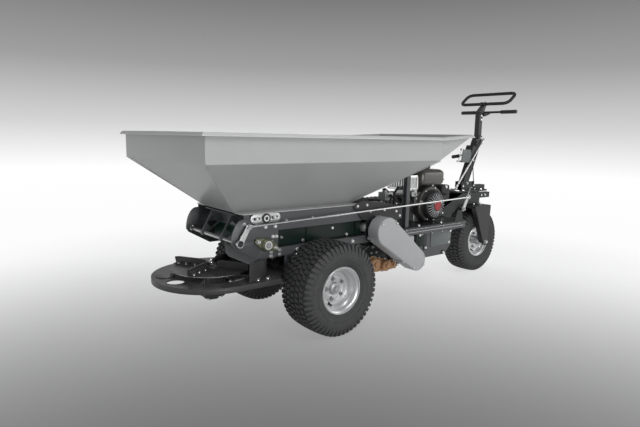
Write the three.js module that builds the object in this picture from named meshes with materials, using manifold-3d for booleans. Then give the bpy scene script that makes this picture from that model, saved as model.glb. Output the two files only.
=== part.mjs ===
// A walk-behind lawn topdresser: a sheet hopper over a belt conveyor, with a metering gate and a spinner
// disc at the discharge end, two driven wheels, a petrol engine and a steered wheel with a tiller.
// Millimetres, +Z up. +X runs from the discharge end to the operator, and left is -Y,
// the side of the gate rod.
import * as THREE from "three";
import { mergeVertices } from "three/addons/utils/BufferGeometryUtils.js";
import Module from "manifold-3d";

const wasm = await Module();
wasm.setup();

// Clearances and sheet shared by the whole machine
const seatGap = 0.3;
const runGap = 1;
const wheelClearance = 10;
const cutOver = 4;
const sheet = 3;
const plate = 5;

// Wheels: the drive pair is wide, the steered wheel is narrow, and all three have the same diameter
const axleHeight = 228;
const driveTyreWidth = 216;
const steerTyreWidth = 165;
const lugHeight = 9;
const lugCount = 12;
const wheelSides = lugCount * 2;
const tyreRadius = axleHeight / Math.cos(Math.PI / wheelSides);
const rimFlangeRadius = 115.5;
const rimSeatRadius = 102;
const rimSheet = 3.5;
const driveRimWidth = 178;
const steerRimWidth = 137;
const driveDish = 63;
const steerDish = 40;
const hubBossRadius = 30;
const hubFlangeRadius = 66;
const hubFlangeThickness = 10;
const hubBossLength = 18;
const axleShaftRadius = 15;
const axleTubeRadius = 28;
const differentialHalfWidth = 75;
const differentialRadius = 82;

// Main frame: two channels on edge, carried by the axle brackets
const axleZ = axleHeight;
const frameRise = 161.5;
const frameHeight = 40;
const frameFlange = 30;
const frameWall = 4;
const frameOuterY = 235;
const tyreGap = 2;
const driveTrack = 2 * (frameOuterY + tyreGap) + driveTyreWidth;
const frameFrontX = -296;
const frameBottomZ = axleZ + frameRise;
const frameTopZ = frameBottomZ + frameHeight;
const axleBracketLength = 120;
const axleBracketThickness = 8;

// Conveyor: belt on a head roller at the discharge end and a tail roller under the hopper's rear
const headRollerX = -304;
const tailRollerX = 410;
const rollerRise = 25;
const rollerRadius = 50;
const rollerInset = 23;
const rollerHalfWidth = frameOuterY - frameFlange - rollerInset;
const rollerShaftRadius = 12.5;
const beltThickness = 3;
const beltInset = 4;
const beltHalfWidth = rollerHalfWidth - beltInset;
const beltSeal = 7;
const rollerZ = frameTopZ + rollerRise;
const beltTopZ = rollerZ + rollerRadius + runGap + beltThickness;
const bearingRadius = 38;
const bearingHeight = 26;
const bearingEar = 52;

// Skirt rails carry the hopper and seal the load over the belt
const skirtHeight = 85;
const skirtOuterY = frameOuterY;
const skirtFlange = 83;
const skirtInnerY = skirtOuterY - skirtFlange;
const skirtFrontX = -418;
const skirtRearX = 484;
const skirtBottomZ = beltTopZ + beltSeal;
const skirtTopZ = skirtBottomZ + skirtHeight;

// Hopper: a sloped funnel, an upright band round it, and a shallow loading slope at the rear
const hopperSheet = 3;
const hopperFrontX = -705;
const hopperBandRearX = 674;
const hopperRearX = 1035;
const hopperHalfWidth = 449;
const hopperRearHalfWidth = 375;
const throatFrontX = -420;
const throatRearX = 287;
const throatHalfWidth = skirtInnerY;
const funnelHeight = 240;
const bandHeight = 124;
const rimHeight = 17;
const rearRise = 20;
const rimOverhang = 22;
const hopperBottomZ = skirtTopZ + seatGap;
const bandBottomZ = hopperBottomZ + funnelHeight;
const rimTopZ = bandBottomZ + bandHeight;

// Head and tail plates tie the skirt rails to the frame and hold the rollers
const tailPlateLength = 140;
const tailPlateDrop = 8;
const noseX = -484;
const noseTopX = -424;
const headPlateRearX = -236;

// Metering gate: a curved plate on arms, turning on a cross shaft ahead of the belt
const gatePivotX = -452;
const gatePivotZ = 476;
const gateRadius = 118;
const gateSheet = 3;
const gateSideGap = 6;
const gateHalfWidth = skirtInnerY - gateSideGap;
const gateLowAngle = 21;
const gateHighAngle = 74;
const gateShaftRadius = 10;
const gateArmThickness = 6;
const gateArmPlaceShare = 0.67;
const crankLength = 87;
const crankAngle = 60;
const crankWidth = 22;
const crankThickness = 8;
const crankPinRadius = 5;
const rodRadius = 5;
const rodEyeRadius = 11;
const rodEyeThickness = 10;
const rodPinClearance = 1.5;
const leverInset = 73.5;
const linkRise = 40.7;
const leverGripLength = 62;

// Spreader: one disc with four vanes over a deck that guards it
const spinnerX = -464;
const spinnerZ = 318;
const spinnerRadius = 190;
const spinnerSheet = 4;
const spinnerHubRadius = 42;
const spinnerHubHeight = 22;
const vaneHeight = 36;
const vaneFoot = 24;
const vaneCount = 4;
const vaneTurn = 32;
const vaneOverhang = 10;
const spinnerShaftRadius = 13;
const deckZ = 287;
const deckRadius = 278;
const deckLip = 26;
const deckRearX = -146;
const deckHoleRadius = 40;
const deckHoleInset = 64;
const deckHoleReach = deckRadius - deckHoleInset;
const deckHoleAngle = 196;
const deckBoreRadius = 46;
const wallInset = 10;
const wallRadius = deckRadius - wallInset;
const wallSpread = 77;
const wallHeadroom = 6;
const hangerLength = 56;
const hangerInset = 24;
const spinnerBoxHalf = 52;
const spinnerBoxHeight = 106;
const lineShaftRadius = 12;

// Drive: gearbox under the frame, tube to the axle, chain to the conveyor inside a cover
const gearboxFrontX = 430;
const gearboxLength = 340;
const gearboxRearX = gearboxFrontX + gearboxLength;
const gearboxHalfWidth = 120;
const gearboxBottomZ = 178;
const gearboxTopZ = 330;
const driveTubeRadius = 24;
const outputInset = 105;
const outputX = gearboxRearX - outputInset;
const outputZ = 265;
const outputShaftRadius = 12;
const sprocketTeethTop = 14;
const sprocketTeethBottom = 10;
const sprocketPitch = 25.4;
const sprocketThickness = 7;
const chainReach = 61;
const coverReach = 27;
const coverDepth = 78;
const chainPlaneY = -(frameOuterY + chainReach);
const coverInnerY = -(frameOuterY + coverReach);
const coverOuterY = coverInnerY - coverDepth;
const coverTopRadius = 80;
const coverBottomRadius = 61;
const coverWall = 3;
const stayWidth = 30;
const coverStepLength = 66;
const coverStepHeight = 44;

// Platform, posts, engine and the pan under it
const platformThickness = 6;
const postX = 672;
const postLap = 116;
const platformFrontX = postX - postLap;
const postSize = 30;
const panGap = 36;
const panLength = 334;
const panFrontX = gearboxRearX + panGap;
const panRearX = panFrontX + panLength;
const panInset = 35;
const panHalfWidth = frameOuterY - panInset;
const panDepth = 165;
const panCorner = 60;
const engineSetback = 184;
const engineX = panFrontX + engineSetback;
const frameTail = 100;
const frameRearX = panRearX + frameTail;
const crankRise = 108;
const starterFaceY = -200;
const starterRadius = 95;
const starterDepth = 52;
const starterVents = 10;
const blowerDepth = 62;
const blowerRadius = 118;
const blockHalfLength = 92;
const blockRearY = 96;
const blockHeight = 196;
const headLength = 74;
const finCount = 6;
const finStep = 16.2;
const finGap = 7;
const outputStubRadius = 11;
const outputStubLength = 50;
const tankLength = 226;
const tankFrontY = -158;
const tankRearY = 36;
const tankHeight = 104;
const tankRise = 228;
const tankCorner = 34;
const capRadius = 26;
const capHeight = 20;
const mufflerLength = 92;
const mufflerHeight = 96;
const cleanerLength = 84;
const cleanerHeight = 104;

// Steering: gooseneck with a head tube, a fork, and a tiller on top
const wheelSetback = 401;
const wheelbase = frameRearX + wheelSetback;
const rake = 14;
const steerX = wheelbase + rake;
const headTubeRadius = 35;
const steererRadius = 20;
const headTubeLength = 94;
const crownThickness = 18;
const crownClearance = 18;
const crownFront = 160;
const crownRear = 26;
const forkThickness = 12;
const forkClearance = 13;
const forkFootWidth = 56;
const forkFlange = 24;
const steerAxleRadius = 10;
const neckHalfWidth = 48;
const neckPlate = 6;
const receiverSize = 40;
const receiverReach = 135;
const crownZ = axleZ + tyreRadius + crownClearance;
const headTubeZ = crownZ + crownThickness + runGap;
const baseZ = headTubeZ + headTubeLength + seatGap;

// Tiller: base plate, leaning column, adjustable stem, loop handle and drive bar
const basePlate = 12;
const baseFrontReach = 289;
const baseRearReach = 63;
const baseFrontX = steerX - baseFrontReach;
const baseRearX = steerX + baseRearReach;
const baseHalfWidth = 66;
const cheekHeight = 60;
const cheekFrontReach = 193;
const cheekRearReach = 45;
const columnFootReach = 139;
const cheekFrontX = steerX - cheekFrontReach;
const cheekRearX = steerX - cheekRearReach;
const columnFootX = steerX - columnFootReach;
const columnFootRise = 48;
const columnTopX = steerX;
const columnTopZ = 968;
const columnDepth = 56;
const columnWidth = 44;
const shiftReach = 62;
const shiftDrop = 14;
const shiftKnobLength = 84;
const panelLength = 118;
const panelDepth = 42;
const panelShare = 0.6;
const panelWidth = 60;
const stemRise = 182;
const stemTopZ = columnTopZ + stemRise;
const stemSize = 36;
const handleReach = 100;
const loopLowReach = 45;
const loopLowRise = 62;
const loopLength = 100;
const loopClimb = 76;
const loopLowX = columnTopX + loopLowReach;
const loopLowZ = stemTopZ + loopLowRise;
const loopHighX = loopLowX + loopLength;
const loopHighZ = loopLowZ + loopClimb;
const loopHalfWidth = 196;
const loopCorner = 58;
const loopTubeRadius = 11;
const barReach = 65;
const barDrop = 55;
const barX = loopLowX + barReach;
const barZ = loopLowZ - barDrop;
const barHalfWidth = 226;
const barRadius = 8;
const gripRadius = 13;
const gripLength = 120;

// Finishes
const finish = (color, roughness, metalness) =>
  new THREE.MeshStandardMaterial({ color, roughness, metalness });
const hopperPaint = finish(0x9a9c9c, 0.42, 0.25);
const framePaint = finish(0x3a3b3d, 0.5, 0.2);
const coverPaint = finish(0x8d9091, 0.5, 0.15);
const blackPaint = finish(0x1d1e20, 0.55, 0.2);
const zincPlate = finish(0xc8cac8, 0.35, 0.85);
const tyreRubber = finish(0x2c2d2e, 0.85, 0);
const beltRubber = finish(0x1d3a2b, 0.7, 0);
const castBronze = finish(0x8a5f3c, 0.6, 0.5);
const castAlloy = finish(0x9b9d9c, 0.45, 0.7);
const gripPlastic = finish(0x151516, 0.6, 0);

const topdresser = new THREE.Group();
const degrees = Math.PI / 180;
const MERGE_DISTANCE = 1e-3;

// Solids: a closed geometry becomes one that can be cut and joined
function solidOf(geometry) {
  const loose = geometry.index ? geometry.toNonIndexed() : geometry;
  const bare = new THREE.BufferGeometry();
  bare.setAttribute("position", loose.getAttribute("position"));
  const merged = mergeVertices(bare, MERGE_DISTANCE);
  const corners = Array.from(merged.index.array);
  const build = (triVerts) =>
    new wasm.Manifold(
      new wasm.Mesh({
        numProp: 3,
        vertProperties: new Float32Array(merged.attributes.position.array),
        triVerts: new Uint32Array(triVerts),
      }),
    );
  const made = build(corners);
  return made.volume() < 0 ? build(corners.reverse()) : made;
}

function geometryOf(solid) {
  const mesh = solid.getMesh();
  const geometry = new THREE.BufferGeometry();
  geometry.setAttribute("position", new THREE.BufferAttribute(new Float32Array(mesh.vertProperties), 3));
  geometry.setIndex(new THREE.BufferAttribute(new Uint32Array(mesh.triVerts), 1));
  const flat = geometry.toNonIndexed();
  flat.computeVertexNormals();
  return flat;
}

function addPiece(name, solid, material) {
  const mesh = new THREE.Mesh(geometryOf(solid), material);
  mesh.name = name;
  topdresser.add(mesh);
}

const joined = (first, ...others) => others.reduce((sum, next) => sum.add(next), first);
const cut = (body, ...tools) => tools.reduce((rest, tool) => rest.subtract(tool), body);

// Shapes: boxes by their corners, outlines extruded along an axis, turned profiles and round bars
function block(x0, x1, y0, y1, z0, z1) {
  const box = new THREE.BoxGeometry(x1 - x0, y1 - y0, z1 - z0);
  return solidOf(box.translate((x0 + x1) / 2, (y0 + y1) / 2, (z0 + z1) / 2));
}

const shapeOf = (points) => new THREE.Shape(points.map(([u, v]) => new THREE.Vector2(u, v)));

function extrusion(shape, depth, curveSegments) {
  return new THREE.ExtrudeGeometry(shape, { depth, bevelEnabled: false, curveSegments });
}

// An outline in X and Z, as thick as from y0 to y1
function sideways(shape, y0, y1, curveSegments = 8) {
  return solidOf(extrusion(shape, y1 - y0, curveSegments).rotateX(Math.PI / 2).translate(0, y1, 0));
}

// An outline in X and Y, as thick as from z0 to z1
function level(shape, z0, z1, curveSegments = 8) {
  return solidOf(extrusion(shape, z1 - z0, curveSegments).translate(0, 0, z0));
}

function barAcross(radius, y0, y1, x, z, sides = 16) {
  const bar = new THREE.CylinderGeometry(radius, radius, y1 - y0, sides);
  return solidOf(bar.translate(x, (y0 + y1) / 2, z));
}

function barUpright(radius, z0, z1, x, y, sides = 16) {
  const bar = new THREE.CylinderGeometry(radius, radius, z1 - z0, sides);
  return solidOf(bar.rotateX(Math.PI / 2).translate(x, y, (z0 + z1) / 2));
}

function barBetween(radius, from, to, sides = 10) {
  const start = new THREE.Vector3(...from);
  const run = new THREE.Vector3(...to).sub(start);
  const bar = new THREE.CylinderGeometry(radius, radius, run.length(), sides);
  const turn = new THREE.Quaternion().setFromUnitVectors(
    new THREE.Vector3(0, 1, 0),
    run.clone().normalize(),
  );
  bar.applyQuaternion(turn);
  return solidOf(bar.translate(...start.addScaledVector(run, 0.5).toArray()));
}

// A closed profile of [radius, height along the Y axis], turned about that axis
function turnedGeometry(profile, sides) {
  const points = [...profile, profile[0]].map(([radius, along]) => new THREE.Vector2(radius, along));
  return new THREE.LatheGeometry(points, sides);
}

const onSide = (side, near, far) => (side < 0 ? [-far, -near] : [near, far]);
const polar = (x, z, radius, angle) => [
  x + radius * Math.cos(angle * degrees),
  z + radius * Math.sin(angle * degrees),
];

// A closed band between an inner and an outer arc, in X and Z
function arcBand(x, z, inner, outer, fromAngle, toAngle, steps) {
  const angles = Array.from(
    { length: steps + 1 },
    (_, i) => fromAngle + ((toAngle - fromAngle) * i) / steps,
  );
  const outside = angles.map((angle) => polar(x, z, outer, angle));
  const inside = angles.reverse().map((angle) => polar(x, z, inner, angle));
  return shapeOf([...outside, ...inside]);
}

// The outline round two circles that a chain or a belt would take
function loopOutline(x0, z0, r0, x1, z1, r1, steps) {
  const run = Math.hypot(x1 - x0, z1 - z0);
  const heading = Math.atan2(z1 - z0, x1 - x0) / degrees;
  const lean = Math.acos((r0 - r1) / run) / degrees;
  const points = [];
  for (let i = 0; i <= steps; i += 1) {
    points.push(polar(x0, z0, r0, heading + lean + ((360 - 2 * lean) * i) / steps));
  }
  for (let i = 0; i <= steps; i += 1) {
    points.push(polar(x1, z1, r1, heading - lean + (2 * lean * i) / steps));
  }
  return points;
}

// Wheels
function tyre(width, rimWidth) {
  const half = width / 2;
  const bead = rimWidth / 2 - seatGap;
  const seat = bead - rimSheet * 3;
  const treadFoot = tyreRadius - lugHeight;
  const shoulderShare = 0.78;
  const crownShare = 0.36;
  const bulgeRadiusShare = 0.74;
  const wallShare = 0.8;
  const section = [
    [rimSeatRadius + seatGap, -seat],
    [rimFlangeRadius + rimSheet, -bead],
    [tyreRadius * bulgeRadiusShare, -half],
    [treadFoot, -half * shoulderShare],
    [tyreRadius, -half * crownShare],
    [tyreRadius, half * crownShare],
    [treadFoot, half * shoulderShare],
    [tyreRadius * bulgeRadiusShare, half],
    [rimFlangeRadius + rimSheet, bead],
    [rimSeatRadius + seatGap, seat],
    [rimSeatRadius + seatGap, bead * wallShare],
    [tyreRadius * wallShare, half * crownShare],
    [tyreRadius * wallShare, -half * crownShare],
    [rimSeatRadius + seatGap, -bead * wallShare],
  ];
  const geometry = turnedGeometry(section, wheelSides);
  const place = geometry.getAttribute("position");
  const perColumn = section.length + 1;
  for (let i = 0; i < place.count; i += 1) {
    const column = Math.floor(i / perColumn) % 2;
    const radius = Math.hypot(place.getX(i), place.getZ(i));
    const side = place.getY(i) > 0 ? 0 : 1;
    const isTread = radius > treadFoot - lugHeight / 2;
    const grooveShare = isTread && column === side ? (radius - lugHeight) / radius : 1;
    place.setX(i, place.getX(i) * grooveShare);
    place.setZ(i, place.getZ(i) * grooveShare);
  }
  return geometry;
}

// A wheel is turned by half a facet, so that it stands on a flat of its tread
const standing = (geometry) => geometry.rotateY(Math.PI / wheelSides);

// A rim's section; a boss through its middle, where it has one, is given by its half length and its bore
function rim(rimWidth, dish, bossHalf, bore) {
  const edge = rimWidth / 2;
  const seatEdge = edge - rimSheet * 3;
  const web = edge - dish;
  const inside = rimSeatRadius - rimSheet;
  const hole = hubBossRadius + seatGap;
  const plain = [
    [hole, web + rimSheet],
    [hole, web],
  ];
  const bossed = [
    [hole, web + rimSheet],
    [hole, bossHalf],
    [bore, bossHalf],
    [bore, -bossHalf],
    [hole, -bossHalf],
    [hole, web],
  ];
  const section = [
    [rimFlangeRadius, -edge],
    [rimSeatRadius, -seatEdge],
    [rimSeatRadius, seatEdge],
    [rimFlangeRadius, edge],
    [rimFlangeRadius - rimSheet, edge + rimSheet],
    [inside, seatEdge + rimSheet],
    [inside, web + rimSheet],
    ...(bossHalf ? bossed : plain),
    [inside, web],
    [inside, -seatEdge - rimSheet],
    [rimFlangeRadius - rimSheet, -edge - rimSheet],
  ];
  return turnedGeometry(section, wheelSides);
}

function driveWheel(name, side) {
  const y = (side * driveTrack) / 2;
  const webY = y + side * (driveRimWidth / 2 - driveDish);
  const facing = side < 0 ? Math.PI : 0;
  const set = (geometry) => solidOf(standing(geometry).rotateX(facing).translate(0, y, axleZ));
  addPiece(name + "_tyre", set(tyre(driveTyreWidth, driveRimWidth)), tyreRubber);
  addPiece(name + "_rim", set(rim(driveRimWidth, driveDish)), zincPlate);
  const inner = webY - side * seatGap;
  const flangeFoot = inner - side * hubFlangeThickness;
  const bossTop = inner + side * (rimSheet + hubBossLength);
  const inOrder = (one, other) => [Math.min(one, other), Math.max(one, other)];
  const flange = inOrder(inner, flangeFoot);
  const boss = inOrder(flangeFoot, bossTop);
  const shaft = inOrder(side * (differentialHalfWidth + runGap), inner);
  const hub = joined(
    barAcross(hubFlangeRadius, ...flange, 0, axleZ, wheelSides),
    barAcross(hubBossRadius, ...boss, 0, axleZ, wheelSides),
    barAcross(axleShaftRadius, ...shaft, 0, axleZ, 12),
  );
  addPiece(name + "_hub", hub, zincPlate);
}

function steeredWheel() {
  const set = (geometry) => solidOf(standing(geometry).translate(wheelbase, 0, axleZ));
  addPiece("steered_tyre", set(tyre(steerTyreWidth, steerRimWidth)), tyreRubber);
  const bossHalf = steerTyreWidth / 2 + forkClearance - runGap;
  const wheel = rim(steerRimWidth, steerDish, bossHalf, steerAxleRadius + runGap);
  addPiece("steered_rim", set(wheel), zincPlate);
}

// Frame
function frameRail(name, side) {
  const wall = onSide(side, frameOuterY - frameWall, frameOuterY);
  const flange = onSide(side, frameOuterY - frameFlange, frameOuterY);
  const rail = joined(
    block(frameFrontX, frameRearX, ...wall, frameBottomZ, frameTopZ),
    block(frameFrontX, frameRearX, ...flange, frameBottomZ, frameBottomZ + frameWall),
    block(frameFrontX, frameRearX, ...flange, frameTopZ - frameWall, frameTopZ),
  );
  addPiece(name, rail, framePaint);
}

function axleBracket(name, side) {
  const outer = frameOuterY - frameFlange + axleBracketThickness;
  const [y0, y1] = onSide(side, frameOuterY - frameFlange, outer);
  const half = axleBracketLength / 2;
  const foot = axleTubeRadius + axleBracketThickness;
  const top = frameBottomZ - seatGap;
  const points = [[-half, top]];
  for (let i = 0; i <= 8; i += 1) {
    points.push(polar(0, axleZ, foot, 180 + (180 * i) / 8));
  }
  points.push([half, top]);
  const hole = barAcross(axleTubeRadius + seatGap, y0 - cutOver, y1 + cutOver, 0, axleZ, 20);
  addPiece(name, cut(sideways(shapeOf(points), y0, y1), hole), framePaint);
}

function axleHousing() {
  const reach = frameOuterY - frameFlange + axleBracketThickness + plate;
  const tube = barAcross(axleTubeRadius, -reach, reach, 0, axleZ, 20);
  const belly = barAcross(differentialRadius, -differentialHalfWidth, differentialHalfWidth, 0, axleZ, 24);
  const [left, right] = [-1, 1].map((side) => {
    const [y0, y1] = onSide(side, differentialHalfWidth, reach + cutOver);
    return barAcross(axleShaftRadius + runGap, y0, y1, 0, axleZ, 12);
  });
  const line = axleZ + plate * 4;
  const drive = barBetween(driveTubeRadius, [0, 0, line], [gearboxFrontX - seatGap, 0, line], 16);
  addPiece("axle_housing", cut(joined(tube, belly, drive), left, right), blackPaint);
}

// Conveyor
function skirtRail(name, side) {
  const wall = onSide(side, skirtOuterY - sheet, skirtOuterY);
  const flange = onSide(side, skirtInnerY, skirtOuterY);
  const rail = joined(
    block(skirtFrontX, skirtRearX, ...wall, skirtBottomZ, skirtTopZ),
    block(skirtFrontX, skirtRearX, ...flange, skirtTopZ - sheet, skirtTopZ),
    block(skirtFrontX, skirtRearX, ...flange, skirtBottomZ, skirtBottomZ + sheet),
  );
  addPiece(name, rail, framePaint);
}

function headPlate(name, side) {
  const [y0, y1] = onSide(side, frameOuterY + seatGap, frameOuterY + seatGap + plate);
  const bottom = frameBottomZ;
  const top = skirtTopZ - sheet * 6;
  const points = [[headPlateRearX, bottom]];
  points.push([headPlateRearX, top]);
  const noseSteps = 6;
  for (let i = 0; i <= noseSteps; i += 1) {
    const share = i / noseSteps;
    const sweep = share * 90 * degrees;
    const reachX = noseTopX - noseX;
    const dropZ = top - gatePivotZ;
    points.push([noseTopX - reachX * Math.sin(sweep), gatePivotZ + dropZ * Math.cos(sweep)]);
  }
  points.push([noseX + rollerRadius / 4, gatePivotZ - gateShaftRadius * 2]);
  points.push([headRollerX - rollerRadius, bottom]);
  const holes = [
    barAcross(rollerShaftRadius + runGap, y0 - cutOver, y1 + cutOver, headRollerX, rollerZ, 20),
    barAcross(gateShaftRadius + runGap, y0 - cutOver, y1 + cutOver, gatePivotX, gatePivotZ, 20),
  ];
  addPiece(name, cut(sideways(shapeOf(points), y0, y1), ...holes), framePaint);
}

function tailPlate(name, side) {
  const [y0, y1] = onSide(side, frameOuterY + seatGap, frameOuterY + seatGap + plate);
  const half = tailPlateLength / 2;
  const x0 = tailRollerX - half;
  const x1 = tailRollerX + half;
  const through = onSide(side, frameOuterY - cutOver, frameOuterY + bearingHeight);
  const hole = barAcross(rollerShaftRadius + runGap, ...through, tailRollerX, rollerZ, 20);
  const sheetPlate = block(x0, x1, y0, y1, frameBottomZ + tailPlateDrop, skirtTopZ - sheet * 6);
  const ring = onSide(side, frameOuterY + plate, frameOuterY + plate + bearingHeight / 2);
  const boss = barAcross(bearingRadius / 1.5, ...ring, tailRollerX, rollerZ, 16);
  addPiece(name, cut(joined(sheetPlate, boss), hole), framePaint);
}

function roller(x, y0, y1) {
  const drum = barAcross(rollerRadius, -rollerHalfWidth, rollerHalfWidth, x, rollerZ, 20);
  return joined(drum, barAcross(rollerShaftRadius, y0, y1, x, rollerZ, 16));
}

function headRoller() {
  const reach = frameOuterY + seatGap * 2 + plate + bearingHeight;
  addPiece("head_roller", roller(headRollerX, -reach, reach), zincPlate);
}

// A flanged bearing on two ears
function headBearing(name, side) {
  const face = frameOuterY + seatGap * 2 + plate;
  const flange = onSide(side, face, face + bearingHeight / 2.6);
  const body = onSide(side, face, face + bearingHeight);
  const ear = bearingEar;
  const tip = bearingRadius / 2.4;
  const lean = -22 * degrees;
  const outline = loopOutline(-ear, 0, tip, ear, 0, tip, 5).map(([u, v]) => [
    headRollerX + u * Math.cos(lean) - v * Math.sin(lean),
    rollerZ + u * Math.sin(lean) + v * Math.cos(lean),
  ]);
  const bearing = joined(
    sideways(shapeOf(outline), ...flange),
    barAcross(bearingRadius / 1.25, ...body, headRollerX, rollerZ, 20),
  );
  const bore = barAcross(
    rollerShaftRadius + runGap,
    ...onSide(side, face - cutOver, face + bearingHeight + cutOver),
    headRollerX,
    rollerZ,
    16,
  );
  addPiece(name, cut(bearing, bore), castAlloy);
}

function conveyorBelt() {
  const outer = rollerRadius + runGap + beltThickness;
  const inner = rollerRadius + runGap;
  const outside = loopOutline(headRollerX, rollerZ, outer, tailRollerX, rollerZ, outer, 12);
  const inside = loopOutline(headRollerX, rollerZ, inner, tailRollerX, rollerZ, inner, 12);
  const shape = shapeOf(outside);
  shape.holes.push(new THREE.Path(inside.map(([u, v]) => new THREE.Vector2(u, v))));
  addPiece("conveyor_belt", sideways(shape, -beltHalfWidth, beltHalfWidth), beltRubber);
}

// A sprocket whose teeth follow from its pitch
function sprocketOutline(x, z, teeth, turn) {
  const pitchRadius = sprocketPitch / 2 / Math.sin(Math.PI / teeth);
  const rootRadius = pitchRadius - sprocketPitch * 0.3;
  const tipRadius = pitchRadius + sprocketPitch * 0.26;
  const points = [];
  for (let i = 0; i < teeth; i += 1) {
    const step = 360 / teeth;
    const start = turn + i * step;
    points.push(polar(x, z, rootRadius, start - step * 0.3));
    points.push(polar(x, z, tipRadius, start - step * 0.1));
    points.push(polar(x, z, tipRadius, start + step * 0.1));
    points.push(polar(x, z, rootRadius, start + step * 0.3));
  }
  return shapeOf(points);
}

function tailRoller() {
  const reach = frameOuterY + plate + bearingHeight / 2 + seatGap;
  const body = roller(tailRollerX, chainPlaneY - sprocketThickness, reach);
  const wheel = sideways(
    sprocketOutline(tailRollerX, rollerZ, sprocketTeethTop, 0),
    chainPlaneY - sprocketThickness / 2,
    chainPlaneY + sprocketThickness / 2,
  );
  addPiece("tail_roller", joined(body, wheel), zincPlate);
}

function outputSprocket() {
  const shaft = barAcross(
    outputShaftRadius,
    chainPlaneY - sprocketThickness,
    -gearboxHalfWidth - runGap,
    outputX,
    outputZ,
    12,
  );
  const wheel = sideways(
    sprocketOutline(outputX, outputZ, sprocketTeethBottom, 0),
    chainPlaneY - sprocketThickness / 2,
    chainPlaneY + sprocketThickness / 2,
  );
  addPiece("output_sprocket", joined(shaft, wheel), zincPlate);
}

// The chain cover: a pan round both sprockets, open towards the machine
function chainCover() {
  const outline = (inset) => loopOutline(
    tailRollerX,
    rollerZ,
    coverTopRadius - inset,
    outputX,
    outputZ,
    coverBottomRadius - inset,
    10,
  );
  const stepX = outputX - coverStepLength;
  const step = (inset) => block(
    stepX - coverStepLength + inset,
    stepX + coverStepHeight / 2 - inset,
    coverOuterY + inset,
    coverInnerY + (inset > 0 ? cutOver : 0),
    outputZ,
    rollerZ - coverStepHeight + coverWall - inset,
  );
  const outside = joined(sideways(shapeOf(outline(0)), coverOuterY, coverInnerY), step(0));
  const inside = joined(sideways(
    shapeOf(outline(coverWall)),
    coverOuterY + coverWall,
    coverInnerY + cutOver,
  ), step(coverWall));
  const topStay = block(
    tailRollerX - stayWidth / 2,
    tailRollerX + stayWidth / 2,
    coverInnerY - plate,
    -(frameOuterY + seatGap * 2 + plate),
    rollerZ + coverTopRadius - coverWall,
    rollerZ + coverTopRadius,
  );
  const lowStay = block(
    stepX - stayWidth,
    stepX,
    coverInnerY - plate,
    -(frameOuterY + seatGap),
    rollerZ - coverStepHeight,
    rollerZ - coverStepHeight + coverWall,
  );
  addPiece("chain_cover", joined(cut(outside, inside), topStay, lowStay), coverPaint);
}

// Hopper: faces between named corners, outside and inside, then the folded rim
function hopperSolid(inset, overrun) {
  const funnelInset = inset * 1.5;
  const [x0, x1, w] = [throatFrontX + funnelInset, throatRearX - funnelInset, throatHalfWidth - funnelInset];
  const midZ = bandBottomZ + inset / 2;
  const topZ = rimTopZ + overrun;
  const bottomZ = hopperBottomZ;
  const [fx, bx, rx] = [hopperFrontX + inset, hopperBandRearX - inset, hopperRearX - inset];
  const [hw, rw] = [hopperHalfWidth - inset, hopperRearHalfWidth - inset];
  const slope = (rimTopZ + rearRise - rimHeight - bandBottomZ) / (hopperRearX - hopperBandRearX);
  const lipZ = midZ + (rx - bx) * slope + inset / 2;
  const endZ = topZ + rearRise;
  const corners = [
    [x0, -w, bottomZ], [x1, -w, bottomZ], [x1, w, bottomZ], [x0, w, bottomZ],
    [fx, -hw, midZ], [bx, -hw, midZ], [bx, hw, midZ], [fx, hw, midZ],
    [rx, -rw, lipZ], [rx, rw, lipZ],
    [fx, -hw, topZ], [bx, -hw, topZ], [rx, -rw, endZ], [rx, rw, endZ], [bx, hw, topZ], [fx, hw, topZ],
  ];
  const faces = [
    [3, 2, 1, 0],
    [0, 1, 5, 4], [1, 2, 6, 5], [2, 3, 7, 6], [3, 0, 4, 7],
    [5, 6, 9, 8],
    [4, 5, 11, 10], [5, 8, 12, 11], [8, 9, 13, 12], [9, 6, 14, 13], [6, 7, 15, 14], [7, 4, 10, 15],
    [11, 12, 13, 14], [10, 11, 14, 15],
  ];
  const places = [];
  for (const face of faces) {
    for (let i = 1; i + 1 < face.length; i += 1) {
      places.push(...corners[face[0]], ...corners[face[i]], ...corners[face[i + 1]]);
    }
  }
  const geometry = new THREE.BufferGeometry();
  geometry.setAttribute("position", new THREE.Float32BufferAttribute(places, 3));
  return solidOf(geometry);
}

function hopperRimOutline(grow) {
  return [
    [hopperFrontX - grow, -hopperHalfWidth - grow],
    [hopperBandRearX + grow / 8, -hopperHalfWidth - grow],
    [hopperRearX + grow, -hopperRearHalfWidth - grow * 0.8],
    [hopperRearX + grow, hopperRearHalfWidth + grow * 0.8],
    [hopperBandRearX + grow / 8, hopperHalfWidth + grow],
    [hopperFrontX - grow, hopperHalfWidth + grow],
  ];
}

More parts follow.
